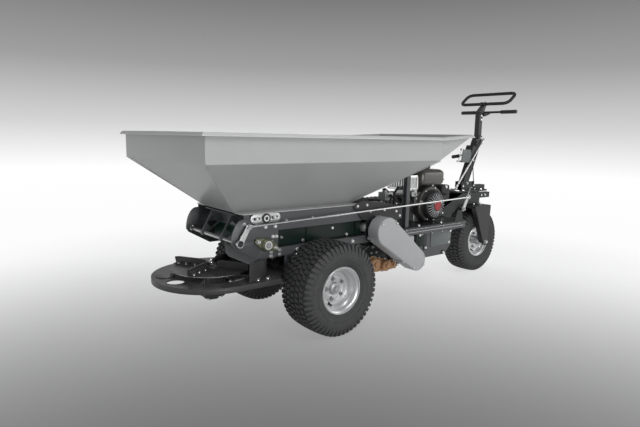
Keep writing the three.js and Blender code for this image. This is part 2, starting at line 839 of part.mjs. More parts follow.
function hopper() {
  const reach = hopperHalfWidth + rimOverhang * 2;
  const rimEnd = hopperRearX + rimOverhang * 2;
  const rimFront = hopperFrontX - rimOverhang * 2;
  const climb = (rearRise * (rimEnd - hopperBandRearX)) / (hopperRearX - hopperBandRearX);
  const rimSide = shapeOf([
    [rimFront, rimTopZ - rimHeight],
    [hopperBandRearX, rimTopZ - rimHeight],
    [rimEnd, rimTopZ - rimHeight + climb],
    [rimEnd, rimTopZ + climb],
    [hopperBandRearX, rimTopZ],
    [rimFront, rimTopZ],
  ]);
  const rimPlan = level(
    shapeOf(hopperRimOutline(rimOverhang)),
    rimTopZ - rimHeight - cutOver,
    rimTopZ + climb + cutOver,
  );
  const rimBar = rimPlan.intersect(sideways(rimSide, -reach, reach));
  const outside = joined(hopperSolid(0, 0), rimBar);
  const drain = block(
    throatFrontX + hopperSheet * 1.5,
    throatRearX - hopperSheet * 1.5,
    -throatHalfWidth + hopperSheet * 1.5,
    throatHalfWidth - hopperSheet * 1.5,
    hopperBottomZ - cutOver,
    hopperBottomZ + cutOver,
  );
  addPiece("hopper", cut(outside, hopperSolid(hopperSheet, cutOver), drain), hopperPaint);
}

function hopperPost(name, side) {
  const [y0, y1] = onSide(
    side,
    frameOuterY - frameFlange - postSize / 2,
    frameOuterY - frameFlange + postSize / 2,
  );
  const slope = funnelHeight / (hopperBandRearX - throatRearX);
  const rearSlope = (bandHeight + rearRise - rimHeight) / (hopperRearX - hopperBandRearX);
  const under = (x) => {
    const onFunnel = (x - throatRearX) * slope;
    const onRear = funnelHeight + (x - hopperBandRearX) * rearSlope;
    return hopperBottomZ + Math.min(onFunnel, onRear) - sheet;
  };
  const foot = frameTopZ + platformThickness + seatGap * 2;
  const x1 = postX + postSize;
  const outline = shapeOf([[postX, foot], [x1, foot], [x1, under(x1)], [postX, under(postX)]]);
  addPiece(name, sideways(outline, y0, y1), framePaint);
}

// Metering gate with its crank
function meteringGate() {
  const outer = gateRadius + gateSheet;
  const skin = sideways(
    arcBand(gatePivotX, gatePivotZ, gateRadius, outer, gateLowAngle, gateHighAngle, 8),
    -gateHalfWidth,
    gateHalfWidth,
  );
  const shaftEnd = frameOuterY + seatGap + plate + crankThickness * 3;
  const shaft = barAcross(gateShaftRadius, -shaftEnd, shaftEnd - crankThickness, gatePivotX, gatePivotZ, 16);
  const armShape = shapeOf([
    polar(gatePivotX, gatePivotZ, gateShaftRadius * 1.4, gateLowAngle - 90),
    polar(gatePivotX, gatePivotZ, gateRadius + gateSheet / 2, gateLowAngle + 6),
    polar(gatePivotX, gatePivotZ, gateRadius + gateSheet / 2, (gateLowAngle + gateHighAngle) / 2),
    polar(gatePivotX, gatePivotZ, gateRadius + gateSheet / 2, gateHighAngle - 6),
    polar(gatePivotX, gatePivotZ, gateShaftRadius * 1.4, gateHighAngle + 90),
    polar(gatePivotX, gatePivotZ, gateShaftRadius * 1.4, gateHighAngle + 150),
  ]);
  const arms = [-1, 1].map((side) => {
    const y = side * gateHalfWidth * gateArmPlaceShare;
    return sideways(armShape, y - gateArmThickness / 2, y + gateArmThickness / 2);
  });
  const crankY = -shaftEnd;
  const [endX, endZ] = polar(gatePivotX, gatePivotZ, crankLength, crankAngle);
  const crank = sideways(
    shapeOf(loopOutline(gatePivotX, gatePivotZ, crankWidth / 1.6, endX, endZ, crankWidth / 2, 6)),
    crankY,
    crankY + crankThickness,
  );
  const pin = barAcross(
    crankPinRadius,
    crankY - rodEyeThickness - runGap * 2,
    crankY + crankThickness / 2,
    endX,
    endZ,
    12,
  );
  addPiece("metering_gate", joined(skin, shaft, ...arms, crank, pin), zincPlate);
}

const rodY = -(frameOuterY + seatGap + plate + crankThickness * 3) - seatGap - rodEyeThickness / 2;
const leverPivotX = frameRearX - leverInset;
const leverPivotZ = gatePivotZ + linkRise;

function eye(x, z) {
  const y0 = rodY - rodEyeThickness / 2;
  const y1 = rodY + rodEyeThickness / 2;
  return [
    barAcross(rodEyeRadius, y0, y1, x, z, 16),
    barAcross(crankPinRadius + rodPinClearance, y0 - cutOver, y1 + cutOver, x, z, 16),
  ];
}

function gateRod() {
  const [x0, z0] = polar(gatePivotX, gatePivotZ, crankLength, crankAngle);
  const [x1, z1] = polar(leverPivotX, leverPivotZ, crankLength, crankAngle);
  const along = new THREE.Vector2(x1 - x0, z1 - z0).normalize().multiplyScalar(rodEyeRadius - runGap * 2);
  const bar = barBetween(
    rodRadius,
    [x0 + along.x, rodY, z0 + along.y],
    [x1 - along.x, rodY, z1 - along.y],
    10,
  );
  const [frontEye, frontBore] = eye(x0, z0);
  const [rearEye, rearBore] = eye(x1, z1);
  addPiece("gate_rod", cut(joined(bar, frontEye, rearEye), frontBore, rearBore), zincPlate);
}

function gateLever() {
  const y0 = rodY + rodEyeThickness / 2 + seatGap;
  const y1 = y0 + crankThickness;
  const [endX, endZ] = polar(leverPivotX, leverPivotZ, crankLength, crankAngle);
  const [tipX, tipZ] = polar(leverPivotX, leverPivotZ, crankLength + leverGripLength, crankAngle);
  const arm = sideways(
    shapeOf(loopOutline(leverPivotX, leverPivotZ, crankWidth / 1.6, tipX, tipZ, crankWidth / 2.4, 6)),
    y0,
    y1,
  );
  const pin = barAcross(
    crankPinRadius,
    rodY - rodEyeThickness / 2 - runGap,
    y0 + crankThickness / 2,
    endX,
    endZ,
    12,
  );
  const bore = barAcross(gateShaftRadius + runGap, y0 - cutOver, y1 + cutOver, leverPivotX, leverPivotZ, 16);
  addPiece("gate_lever", cut(joined(arm, pin), bore), zincPlate);
}

function gateLeverBracket() {
  const leverInner = rodY + rodEyeThickness / 2 + seatGap + crankThickness;
  const y1 = -(frameOuterY - sheet);
  const half = crankWidth * 1.4;
  const foot = frameTopZ + platformThickness + seatGap * 2;
  const upright = sideways(
    shapeOf([
      [leverPivotX - half * 1.6, foot],
      [leverPivotX + half * 1.2, foot],
      [leverPivotX + crankWidth / 1.4, leverPivotZ + crankWidth / 1.4],
      [leverPivotX - crankWidth / 1.4, leverPivotZ + crankWidth / 1.4],
    ]),
    y1 - sheet * 2,
    y1,
  );
  const stub = barAcross(
    gateShaftRadius,
    leverInner - crankThickness - runGap / 2,
    y1,
    leverPivotX,
    leverPivotZ,
    16,
  );
  addPiece("gate_lever_bracket", joined(upright, stub), framePaint);
}

// Spreader
function spinnerDisc() {
  const disc = barUpright(spinnerRadius, spinnerZ, spinnerZ + spinnerSheet, spinnerX, 0, 40);
  const top = spinnerZ + spinnerSheet;
  const hub = barUpright(spinnerHubRadius, top - spinnerSheet / 2, top + spinnerHubHeight, spinnerX, 0, 20);
  const shaft = barUpright(spinnerShaftRadius, deckZ - runGap, top, spinnerX, 0, 16);
  const vanes = Array.from({ length: vaneCount }, (_, i) => {
    const root = spinnerHubRadius * 0.7;
    const tip = spinnerRadius + vaneOverhang;
    const web = block(root, tip, 0, spinnerSheet, top - spinnerSheet / 2, top + vaneHeight);
    const footPlate = block(
      root,
      tip - vaneOverhang * 2,
      0,
      vaneFoot,
      top - spinnerSheet / 2,
      top + spinnerSheet,
    );
    const lip = block(root, tip, 0, vaneFoot / 2, top + vaneHeight - spinnerSheet, top + vaneHeight);
    const turn = vaneTurn + (360 * i) / vaneCount;
    return joined(web, footPlate, lip).rotate([0, 0, turn]).translate([spinnerX, 0, 0]);
  });
  addPiece("spinner_disc", joined(disc, hub, shaft, ...vanes), blackPaint);
}

function deckOutline(inset) {
  const radius = deckRadius - inset;
  const points = [];
  for (let i = 0; i <= 20; i += 1) {
    points.push(polar(spinnerX, 0, radius, 90 + (180 * i) / 20));
  }
  const stepX = -tyreRadius - wheelClearance - inset;
  const rearHalf = frameOuterY - wheelClearance - inset;
  points.push([stepX, -radius], [stepX, -rearHalf], [deckRearX, -rearHalf]);
  points.push([deckRearX, rearHalf], [stepX, rearHalf], [stepX, radius]);
  return shapeOf(points);
}

function spinnerDeck() {
  const top = deckZ + plate;
  const skin = level(deckOutline(0), deckZ, top);
  const lipRing = cut(
    level(deckOutline(0), top - deckLip, top),
    level(deckOutline(plate), top - deckLip - cutOver, top + cutOver),
    block(
      deckRearX - plate * 2,
      deckRearX + cutOver,
      -deckRadius,
      deckRadius,
      top - deckLip - cutOver,
      deckZ,
    ),
  );
  const [holeX, holeY] = polar(spinnerX, 0, deckHoleReach, deckHoleAngle);
  const holes = [
    barUpright(deckHoleRadius, deckZ - cutOver, top + cutOver, holeX, holeY, 24),
    barUpright(deckHoleRadius, deckZ - cutOver, top + cutOver, holeX, -holeY, 24),
    barUpright(deckBoreRadius, deckZ - cutOver, top + cutOver, spinnerX, 0, 24),
  ];
  const kidney = (side) => {
    const inner = deckBoreRadius * 2;
    const outer = deckRadius - deckHoleRadius * 2;
    return level(
      arcBand(spinnerX, 0, inner, outer, side * 90 - 42, side * 90 + 42, 8),
      deckZ - cutOver,
      top + cutOver,
    );
  };
  addPiece("spinner_deck", cut(joined(skin, lipRing), ...holes, kidney(1), kidney(-1)), blackPaint);
}

function spreaderWall() {
  const foot = deckZ + plate + seatGap;
  const top = frameBottomZ - wallHeadroom;
  const band = arcBand(spinnerX, 0, wallRadius - sheet, wallRadius, -wallSpread, wallSpread, 20);
  const hem = arcBand(spinnerX, 0, wallRadius - sheet * 4, wallRadius, -wallSpread, wallSpread, 20);
  addPiece("spreader_wall", joined(level(band, foot, top), level(hem, foot, foot + sheet)), blackPaint);
}

function deckHanger(name, side) {
  const inner = frameOuterY - frameFlange;
  const web = onSide(side, inner, inner + axleBracketThickness);
  const footing = onSide(side, inner, inner + hangerInset);
  const x1 = deckRearX - plate;
  const x0 = x1 - hangerLength / 2;
  const foot = deckZ + plate + seatGap;
  const hanger = joined(
    block(x0, x1, ...web, foot, frameBottomZ - seatGap),
    block(x0, x1, ...footing, foot, foot + axleBracketThickness),
  );
  addPiece(name, hanger, framePaint);
}

function spinnerGearbox() {
  const top = deckZ - seatGap;
  const bottom = top - spinnerBoxHeight;
  const half = spinnerBoxHalf;
  const body = block(spinnerX - half, spinnerX + half, -half, half, bottom, top);
  const cap = barUpright(half * 0.7, bottom - plate * 3, bottom, spinnerX, 0, 20);
  const shaftZ = (top + bottom) / 2;
  const nose = barBetween(
    half / 2,
    [spinnerX + half - plate, 0, shaftZ],
    [spinnerX + half * 1.6, 0, shaftZ],
    16,
  );
  const lineEnd = -(differentialRadius + plate * 2);
  const line = barBetween(
    lineShaftRadius,
    [spinnerX + half, 0, shaftZ],
    [lineEnd, 0, axleZ + plate * 4],
    12,
  );
  const bore = barUpright(spinnerShaftRadius + runGap, top - plate * 2, top + cutOver, spinnerX, 0, 16);
  addPiece("spinner_gearbox", cut(joined(body, cap, nose, line), bore), blackPaint);
}

function dischargeChute() {
  const reach = frameOuterY - frameFlange - seatGap;
  const topX = headRollerX + plate * 4;
  const topZ = frameBottomZ + plate * 2;
  const tipX = headRollerX - rollerRadius * 1.5;
  const tipZ = spinnerZ + spinnerSheet + vaneHeight + plate;
  const chute = shapeOf([
    [topX, topZ],
    [topX + sheet, topZ],
    [headRollerX - rollerRadius, tipZ + plate],
    [tipX, tipZ],
    [tipX, tipZ + sheet],
    [headRollerX - rollerRadius - sheet, tipZ + plate + sheet],
  ]);
  addPiece("discharge_chute", sideways(chute, -reach, reach), coverPaint);
}

// Drive
function gearbox() {
  const x0 = gearboxFrontX;
  const x1 = gearboxRearX;
  const chamfer = (gearboxTopZ - gearboxBottomZ) / 4;
  const side = shapeOf([
    [x0, gearboxBottomZ + chamfer],
    [x0 + chamfer, gearboxBottomZ],
    [x1 - chamfer, gearboxBottomZ],
    [x1, gearboxBottomZ + chamfer],
    [x1, gearboxTopZ],
    [x0 + chamfer * 2, gearboxTopZ],
    [x0, gearboxTopZ - chamfer],
  ]);
  const body = sideways(side, -gearboxHalfWidth, gearboxHalfWidth);
  const boss = barAcross(
    outputShaftRadius * 2.6,
    -gearboxHalfWidth - plate * 2,
    -gearboxHalfWidth + plate,
    outputX,
    outputZ,
    20,
  );
  const bore = barAcross(
    outputShaftRadius + runGap,
    -gearboxHalfWidth - plate * 3,
    -gearboxHalfWidth + plate * 2,
    outputX,
    outputZ,
    16,
  );
  const mounts = [-1, 1].map((end) => {
    const [y0, y1] = onSide(end, gearboxHalfWidth - plate, frameOuterY - frameWall);
    return block(
      x1 - chamfer * 2.4,
      x1 - chamfer,
      y0,
      y1,
      frameBottomZ - seatGap - plate * 2,
      frameBottomZ - seatGap,
    );
  });
  const riser = block(
    x1 - chamfer * 2.4,
    x1 - chamfer,
    -gearboxHalfWidth,
    gearboxHalfWidth,
    gearboxTopZ - plate,
    frameBottomZ - seatGap,
  );
  addPiece("gearbox", cut(joined(body, boss, riser, ...mounts), bore), castBronze);
}

// Platform and the pan under it
function enginePlatform() {
  const z0 = frameTopZ + seatGap;
  const skin = block(platformFrontX, frameRearX, -frameOuterY, frameOuterY, z0, z0 + platformThickness);
  addPiece("engine_platform", skin, framePaint);
}

function bellyPan() {
  const top = frameBottomZ - seatGap;
  const bottom = top - panDepth;
  const side = shapeOf([
    [panFrontX, top],
    [panFrontX, bottom],
    [panRearX - panCorner, bottom],
    [panRearX, bottom + panCorner],
    [panRearX, top],
  ]);
  const inner = shapeOf([
    [panFrontX + sheet, top + cutOver],
    [panFrontX + sheet, bottom + sheet],
    [panRearX - panCorner, bottom + sheet],
    [panRearX - sheet, bottom + panCorner],
    [panRearX - sheet, top + cutOver],
  ]);
  const pan = cut(
    sideways(side, -panHalfWidth, panHalfWidth),
    sideways(inner, -panHalfWidth + sheet, panHalfWidth - sheet),
  );
  const flanges = [-1, 1].map((end) => {
    const [y0, y1] = onSide(end, panHalfWidth - sheet, frameOuterY);
    return block(panFrontX, panRearX, y0, y1, top - sheet, top);
  });
  addPiece("belly_pan", joined(pan, ...flanges), framePaint);
}

// Engine
const engineFootZ = frameTopZ + platformThickness + seatGap * 2;
const crankZ = engineFootZ + crankRise;
const blowerY = starterFaceY + starterDepth + seatGap;
const headFootZ = crankZ - crankRise / 6;
const headTopZ = headFootZ + finStep * finCount - finGap;

function engineBlock() {
  const y0 = blowerY + blowerDepth + seatGap;
  const x0 = engineX - blockHalfLength;
  const x1 = engineX + blockHalfLength;
  const chamfer = blockHalfLength / 3;
  const outline = shapeOf([
    [x0, engineFootZ],
    [x1, engineFootZ],
    [x1, engineFootZ + blockHeight - chamfer],
    [x1 - chamfer, engineFootZ + blockHeight],
    [x0 + chamfer, engineFootZ + blockHeight],
    [x0, engineFootZ + blockHeight - chamfer],
  ]);
  const fins = Array.from({ length: finCount }, (_, i) => {
    const z = headFootZ + i * finStep;
    return block(x0 - headLength, x0 + plate, y0 + plate, blockRearY - plate * 2, z, z + finStep - finGap);
  });
  const core = block(
    x0 - headLength * 0.8,
    x0 + plate,
    y0 + plate * 4,
    blockRearY - plate * 5,
    headFootZ,
    headTopZ,
  );
  const stub = barAcross(
    outputStubRadius,
    blockRearY - plate,
    blockRearY + outputStubLength,
    engineX,
    crankZ,
    16,
  );
  addPiece("engine_block", joined(sideways(outline, y0, blockRearY), core, ...fins, stub), castAlloy);
}

function blowerHousing() {
  const y0 = blowerY;
  const y1 = blowerY + blowerDepth;
  const outline = [];
  for (let i = 0; i <= 16; i += 1) {
    outline.push(polar(engineX, crankZ, blowerRadius, -50 + (230 * i) / 16));
  }
  outline.push([engineX - blowerRadius, crankZ - blowerRadius * 0.35]);
  outline.push([engineX - blowerRadius * 0.45, engineFootZ + plate]);
  outline.push([engineX + blowerRadius * 0.6, engineFootZ + plate]);
  const duct = block(
    engineX - blowerRadius * 1.25,
    engineX - blowerRadius / 2,
    y0 + plate * 3,
    y1,
    crankZ + plate,
    crankZ + blowerRadius * 0.72,
  );
  const inlet = barAcross(starterRadius * 0.86, y0 - cutOver, y0 + blowerDepth / 2, engineX, crankZ, 24);
  addPiece("blower_housing", cut(joined(sideways(shapeOf(outline), y0, y1), duct), inlet), blackPaint);
}

function recoilStarter() {
  const y0 = starterFaceY;
  const drum = [
    [0.01, y0],
    [starterRadius * 0.46, y0],
    [starterRadius * 0.62, y0 + starterDepth * 0.16],
    [starterRadius * 0.92, y0 + starterDepth * 0.34],
    [starterRadius, y0 + starterDepth],
    [starterRadius - sheet, y0 + starterDepth],
    [starterRadius * 0.88, y0 + starterDepth * 0.44],
    [starterRadius * 0.58, y0 + starterDepth * 0.26],
    [0.01, y0 + starterDepth * 0.22],
  ];
  const closed = [[0, y0], ...drum.slice(1, -1), [0, y0 + starterDepth * 0.22]];
  const shell = solidOf(new THREE.LatheGeometry(closed.map(([r, y]) => new THREE.Vector2(r, y)), 24));
  const slots = Array.from({ length: starterVents }, (_, i) => {
    const vent = block(
      starterRadius * 0.64,
      starterRadius * 0.9,
      y0 - cutOver,
      y0 + starterDepth,
      -starterRadius * 0.05,
      starterRadius * 0.06,
    );
    return vent.rotate([0, (360 * i) / starterVents, 0]);
  });
  addPiece("recoil_starter", cut(shell, ...slots).translate([engineX, 0, crankZ]), blackPaint);
}

function roundedBox(x0, x1, z0, z1, corner, y0, y1) {
  const shape = new THREE.Shape();
  shape.moveTo(x0 + corner, z0);
  shape.lineTo(x1 - corner, z0);
  shape.absarc(x1 - corner, z0 + corner, corner, -Math.PI / 2, 0);
  shape.lineTo(x1, z1 - corner);
  shape.absarc(x1 - corner, z1 - corner, corner, 0, Math.PI / 2);
  shape.lineTo(x0 + corner, z1);
  shape.absarc(x0 + corner, z1 - corner, corner, Math.PI / 2, Math.PI);
  shape.lineTo(x0, z0 + corner);
  shape.absarc(x0 + corner, z0 + corner, corner, Math.PI, 1.5 * Math.PI);
  return sideways(shape, y0, y1, 4);
}

const tankX = engineX - tankLength / 2;
const tankZ = engineFootZ + tankRise;

function fuelTank() {
  const seam = tankHeight * 0.34;
  const band = plate;
  const body = roundedBox(
    tankX,
    tankX + tankLength,
    tankZ,
    tankZ + tankHeight,
    tankCorner,
    tankFrontY,
    tankRearY,
  );
  const lip = block(
    tankX - band,
    tankX + tankLength + band,
    tankFrontY - band,
    tankRearY + band,
    tankZ + seam,
    tankZ + seam + band,
  );
  const saddle = block(
    tankX + tankCorner,
    tankX + tankLength - tankCorner,
    blowerY + blowerDepth + seatGap + plate,
    tankRearY - plate,
    engineFootZ + blockHeight + seatGap,
    tankZ + plate,
  );
  addPiece("fuel_tank", joined(body, lip, saddle), blackPaint);
}

function fuelCap() {
  const z0 = tankZ + tankHeight + seatGap;
  const y = (tankFrontY + tankRearY) / 2;
  addPiece(
    "fuel_cap",
    barUpright(capRadius, z0, z0 + capHeight, engineX + tankLength / 6, y, 20),
    gripPlastic,
  );
}

function muffler() {
  const x1 = tankX - plate * 2;
  const x0 = x1 - mufflerLength;
  const z0 = engineFootZ + blockHeight + plate;
  const y0 = tankFrontY + plate * 4;
  const body = roundedBox(x0, x1, z0, z0 + mufflerHeight, tankCorner / 2, y0, tankRearY);
  const neckX = x1 - plate * 6;
  const neckTop = z0 + plate;
  const neckFoot = headTopZ + seatGap;
  const neck = block(
    neckX - plate * 3,
    neckX,
    blowerY + blowerDepth + plate * 6,
    tankRearY - plate * 4,
    neckFoot,
    neckTop,
  );
  addPiece("muffler", joined(body, neck), castAlloy);
}

function airCleaner() {
  const x0 = tankX + tankLength + plate * 2;
  const z0 = engineFootZ + blockHeight * 0.62;
  const y0 = tankFrontY + plate * 6;
  const body = roundedBox(x0, x0 + cleanerLength, z0, z0 + cleanerHeight, plate * 3, y0, tankRearY);
  const neck = block(
    engineX + blockHalfLength + seatGap,
    x0 + plate,
    blowerY + blowerDepth + plate * 6,
    tankRearY - plate * 4,
    z0 + plate,
    z0 + plate * 7,
  );
  addPiece("air_cleaner", joined(body, neck), blackPaint);
}

// Steering
function steeringHead() {
  const z0 = headTubeZ;
  const z1 = headTubeZ + headTubeLength;
  const tube = barUpright(headTubeRadius, z0, z1, steerX, 0, 24);
  const bore = barUpright(steererRadius + runGap, z0 - cutOver, z1 + cutOver, steerX, 0, 24);
  const riseX = wheelbase - tyreRadius;
  const side = shapeOf([
    [frameRearX - postSize * 4, frameTopZ + platformThickness + seatGap * 2],
    [frameRearX + seatGap, frameTopZ + platformThickness + seatGap * 2],
    [frameRearX + seatGap, frameBottomZ],
    [frameRearX + postSize, frameBottomZ],
    [riseX, z0 + plate],
    [steerX - headTubeRadius / 2, z0 + plate],
    [steerX - headTubeRadius / 2, z1 - plate],
    [riseX + postSize, z1 - plate],
  ]);
  const cheeks = [-1, 1].map((end) => {
    const [y0, y1] = onSide(end, neckHalfWidth, neckHalfWidth + neckPlate);
    return sideways(side, y0, y1);
  });
  const webPlate = sideways(
    shapeOf([
      [frameRearX + postSize, frameBottomZ],
      [riseX, z0 + plate],
      [steerX - headTubeRadius, z0 + plate],
      [steerX - headTubeRadius, z0 + plate + neckPlate],
      [riseX - neckPlate / 2, z0 + plate + neckPlate],
      [frameRearX + postSize - neckPlate / 2, frameBottomZ + neckPlate],
    ]),
    -neckHalfWidth - neckPlate / 2,
    neckHalfWidth + neckPlate / 2,
  );
  const bridge = block(
    steerX - headTubeRadius * 1.6,
    steerX,
    -neckHalfWidth - neckPlate / 2,
    neckHalfWidth + neckPlate / 2,
    z0 + plate,
    z1 - plate,
  );
  const receiverZ = (z0 + z1) / 2 + receiverSize / 4;
  const receiver = cut(
    block(
      steerX,
      steerX + headTubeRadius + receiverReach,
      -receiverSize / 2,
      receiverSize / 2,
      receiverZ - receiverSize / 2,
      receiverZ + receiverSize / 2,
    ),
    block(
      steerX + headTubeRadius + cutOver,
      steerX + headTubeRadius + receiverReach + cutOver,
      -receiverSize / 2 + sheet,
      receiverSize / 2 - sheet,
      receiverZ - receiverSize / 2 + sheet,
      receiverZ + receiverSize / 2 - sheet,
    ),
  );
  addPiece("steering_head", cut(joined(tube, bridge, receiver, webPlate, ...cheeks), bore), framePaint);
}

function fork() {
  const inner = steerTyreWidth / 2 + forkClearance;
  const webY = inner + forkFlange;
  const outer = webY + forkThickness;
  const crown = block(
    steerX - crownFront,
    steerX + crownRear,
    -outer,
    outer,
    crownZ,
    crownZ + crownThickness,
  );
  const steerer = barUpright(steererRadius, crownZ + crownThickness / 2, baseZ - seatGap, steerX, 0, 24);
  const legs = [-1, 1].flatMap((side) => {
    const foot = forkFootWidth / 2;
    const top = crownZ + crownThickness / 2;
    const points = [
      [steerX - crownFront, top],
      [wheelbase - foot, axleZ],
    ];
    for (let i = 1; i < 6; i += 1) {
      points.push(polar(wheelbase, axleZ, foot, 180 + (180 * i) / 6));
    }
    points.push([wheelbase + foot, axleZ], [steerX + crownRear, top]);
    const web = sideways(shapeOf(points), ...onSide(side, webY, outer));
    const flange = sideways(
      shapeOf([
        [steerX - crownFront, top],
        [wheelbase - foot, axleZ],
        [wheelbase - foot + neckPlate, axleZ],
        [steerX - crownFront + neckPlate, top],
      ]),
      ...onSide(side, inner, webY + seatGap),
    );
    const collarEnds = onSide(side, inner, webY + seatGap);
    const collar = barAcross(steerAxleRadius * 1.6, ...collarEnds, wheelbase, axleZ, 16);
    return [web, flange, collar];
  });
  const axle = barAcross(steerAxleRadius, -outer - plate * 2, outer + plate * 2, wheelbase, axleZ, 12);
  addPiece("fork", joined(crown, steerer, ...legs, axle), blackPaint);
}

function tillerBase() {
  const skin = block(baseFrontX, baseRearX, -baseHalfWidth, baseHalfWidth, baseZ, baseZ + basePlate);
  const cheeks = [-1, 1].map((side) => {
    const [y0, y1] = onSide(side, columnWidth / 2 + runGap, columnWidth / 2 + runGap + neckPlate);
    return block(cheekFrontX, cheekRearX, y0, y1, baseZ + basePlate / 2, baseZ + basePlate + cheekHeight);
  });
  const [tailX0, tailX1] = [cheekRearX + plate * 2, baseRearX + postSize];
  const tailZ = baseZ + basePlate;
  const tail = block(tailX0, tailX1, -postSize / 1.2, postSize / 1.2, tailZ - plate, tailZ + postSize);
  addPiece("tiller_base", joined(skin, tail, ...cheeks), blackPaint);
}

const columnFootZ = baseZ + basePlate + columnFootRise;
const columnLean = new THREE.Vector2(columnTopX - columnFootX, columnTopZ - columnFootZ).normalize();

// A place beside the column: ahead of its foot along the column, and behind or before its middle line
const columnLength = Math.hypot(columnTopX - columnFootX, columnTopZ - columnFootZ);
const besideColumn = (ahead, behind) => [
  columnFootX + columnLean.x * ahead + columnLean.y * behind,
  columnFootZ + columnLean.y * ahead - columnLean.x * behind,
];

function tillerColumn() {
  const half = columnDepth / 2;
  const slab = (low, high, front, rear, halfWidth) =>
    sideways(
      shapeOf([
        besideColumn(low, front),
        besideColumn(low, rear),
        besideColumn(high, rear),
        besideColumn(high, front),
      ]),
      -halfWidth,
      halfWidth,
    );
  const box = slab(-columnFootRise / 2, columnLength - half, -half, half, columnWidth / 2);
  const pin = columnWidth / 2 + runGap / 2;
  const pivot = barAcross(gateShaftRadius, -pin, pin, columnFootX, columnFootZ, 16);
  const panelLow = columnLength * panelShare - panelLength / 2;
  const panelRear = -half / 2;
  const panel = slab(panelLow, panelLow + panelLength, panelRear - panelDepth, panelRear, panelWidth / 2);
  const [fromX, fromZ] = besideColumn(columnLength - columnDepth, 0);
  const earOutline = loopOutline(
    fromX,
    fromZ,
    columnDepth / 2.2,
    columnTopX,
    columnTopZ,
    columnDepth / 2.4,
    6,
  );
  const ears = [-1, 1].map((side) => {
    const [y0, y1] = onSide(side, stemSize / 2 + runGap, stemSize / 2 + runGap + neckPlate);
    return sideways(shapeOf(earOutline), y0, y1);
  });
  addPiece("tiller_column", joined(box, pivot, panel, ...ears), framePaint);
}

function braceRod() {
  const y = -columnWidth / 2 - neckPlate - plate * 2;
  const low = [baseFrontX + plate * 3, y, baseZ + basePlate + plate * 3];
  const high = [columnTopX + columnDepth / 2.6, y, columnTopZ - plate * 2];
  const reach = rodRadius + plate;
  const ends = [low, high].map(([x, , z]) => barAcross(
    rodEyeRadius,
    y - rodRadius,
    y + rodRadius,
    x,
    z,
    12,
  ));
  const foot = barUpright(rodRadius, baseZ + basePlate + seatGap, low[2], low[0], y, 10);
  const pin = barAcross(rodRadius, y, y + reach + plate / 2, high[0], high[2], 10);
  addPiece("brace_rod", joined(barBetween(rodRadius, low, high, 10), ...ends, foot, pin), zincPlate);
}

function shiftLever() {
  const y = panelWidth / 2 + seatGap + plate;
  const [pivotX, pivotZ] = besideColumn(columnLength * panelShare, -columnDepth / 4 - panelDepth / 2);
  const neckX = pivotX - shiftReach;
  const neckZ = pivotZ - shiftDrop;
  const tipX = neckX - shiftKnobLength;
  const disc = barAcross(rodEyeRadius * 1.5, y - plate, y + plate, pivotX, pivotZ, 16);
  const arm = barBetween(rodRadius, [pivotX, y, pivotZ], [neckX, y, neckZ], 10);
  const knob = barBetween(gripRadius, [neckX + plate, y, neckZ], [tipX, y, neckZ - shiftDrop / 2], 16);
  addPiece("shift_lever", joined(disc, arm, knob), gripPlastic);
}

function handleStem() {
  const half = stemSize / 2;
  const post = block(columnTopX - half, columnTopX + half, -half, half, columnTopZ - half / 2, stemTopZ);
  const pin = barAcross(gateShaftRadius, -half - runGap / 2, half + runGap / 2, columnTopX, columnTopZ, 16);
  const horn = sideways(
    shapeOf([
      [columnTopX - half, stemTopZ - stemSize],
      [columnTopX + half, stemTopZ - stemSize],
      [loopLowX + plate * 2, loopLowZ - loopTubeRadius],
      [loopLowX - plate * 2, loopLowZ - loopTubeRadius],
      [columnTopX - half, stemTopZ + plate],
    ]),
    -half,
    half,
  );
  addPiece("handle_stem", joined(post, pin, horn), framePaint);
}

// A round tube swept along a closed loop that lies in one plane
function closedTube(path, normal, radius, sides) {
  const count = path.length;
  const rings = path.map((point, i) => {
    const ahead = path[(i + 1) % count];
    const behind = path[(i + count - 1) % count];
    const along = ahead.clone().sub(behind).normalize();
    const outward = new THREE.Vector3().crossVectors(along, normal).normalize();
    return Array.from({ length: sides }, (_, j) => {
      const turn = (2 * Math.PI * j) / sides;
      return point
        .clone()
        .addScaledVector(outward, radius * Math.cos(turn))
        .addScaledVector(normal, radius * Math.sin(turn));
    });
  });
  const places = [];
  const push = (...points) => points.forEach((point) => places.push(...point.toArray()));
  for (let i = 0; i < count; i += 1) {
    const here = rings[i];
    const next = rings[(i + 1) % count];
    for (let j = 0; j < sides; j += 1) {
      const k = (j + 1) % sides;
      push(here[j], next[j], next[k]);
      push(here[j], next[k], here[k]);
    }
  }
  const geometry = new THREE.BufferGeometry();
  geometry.setAttribute("position", new THREE.Float32BufferAttribute(places, 3));
  return solidOf(geometry);
}

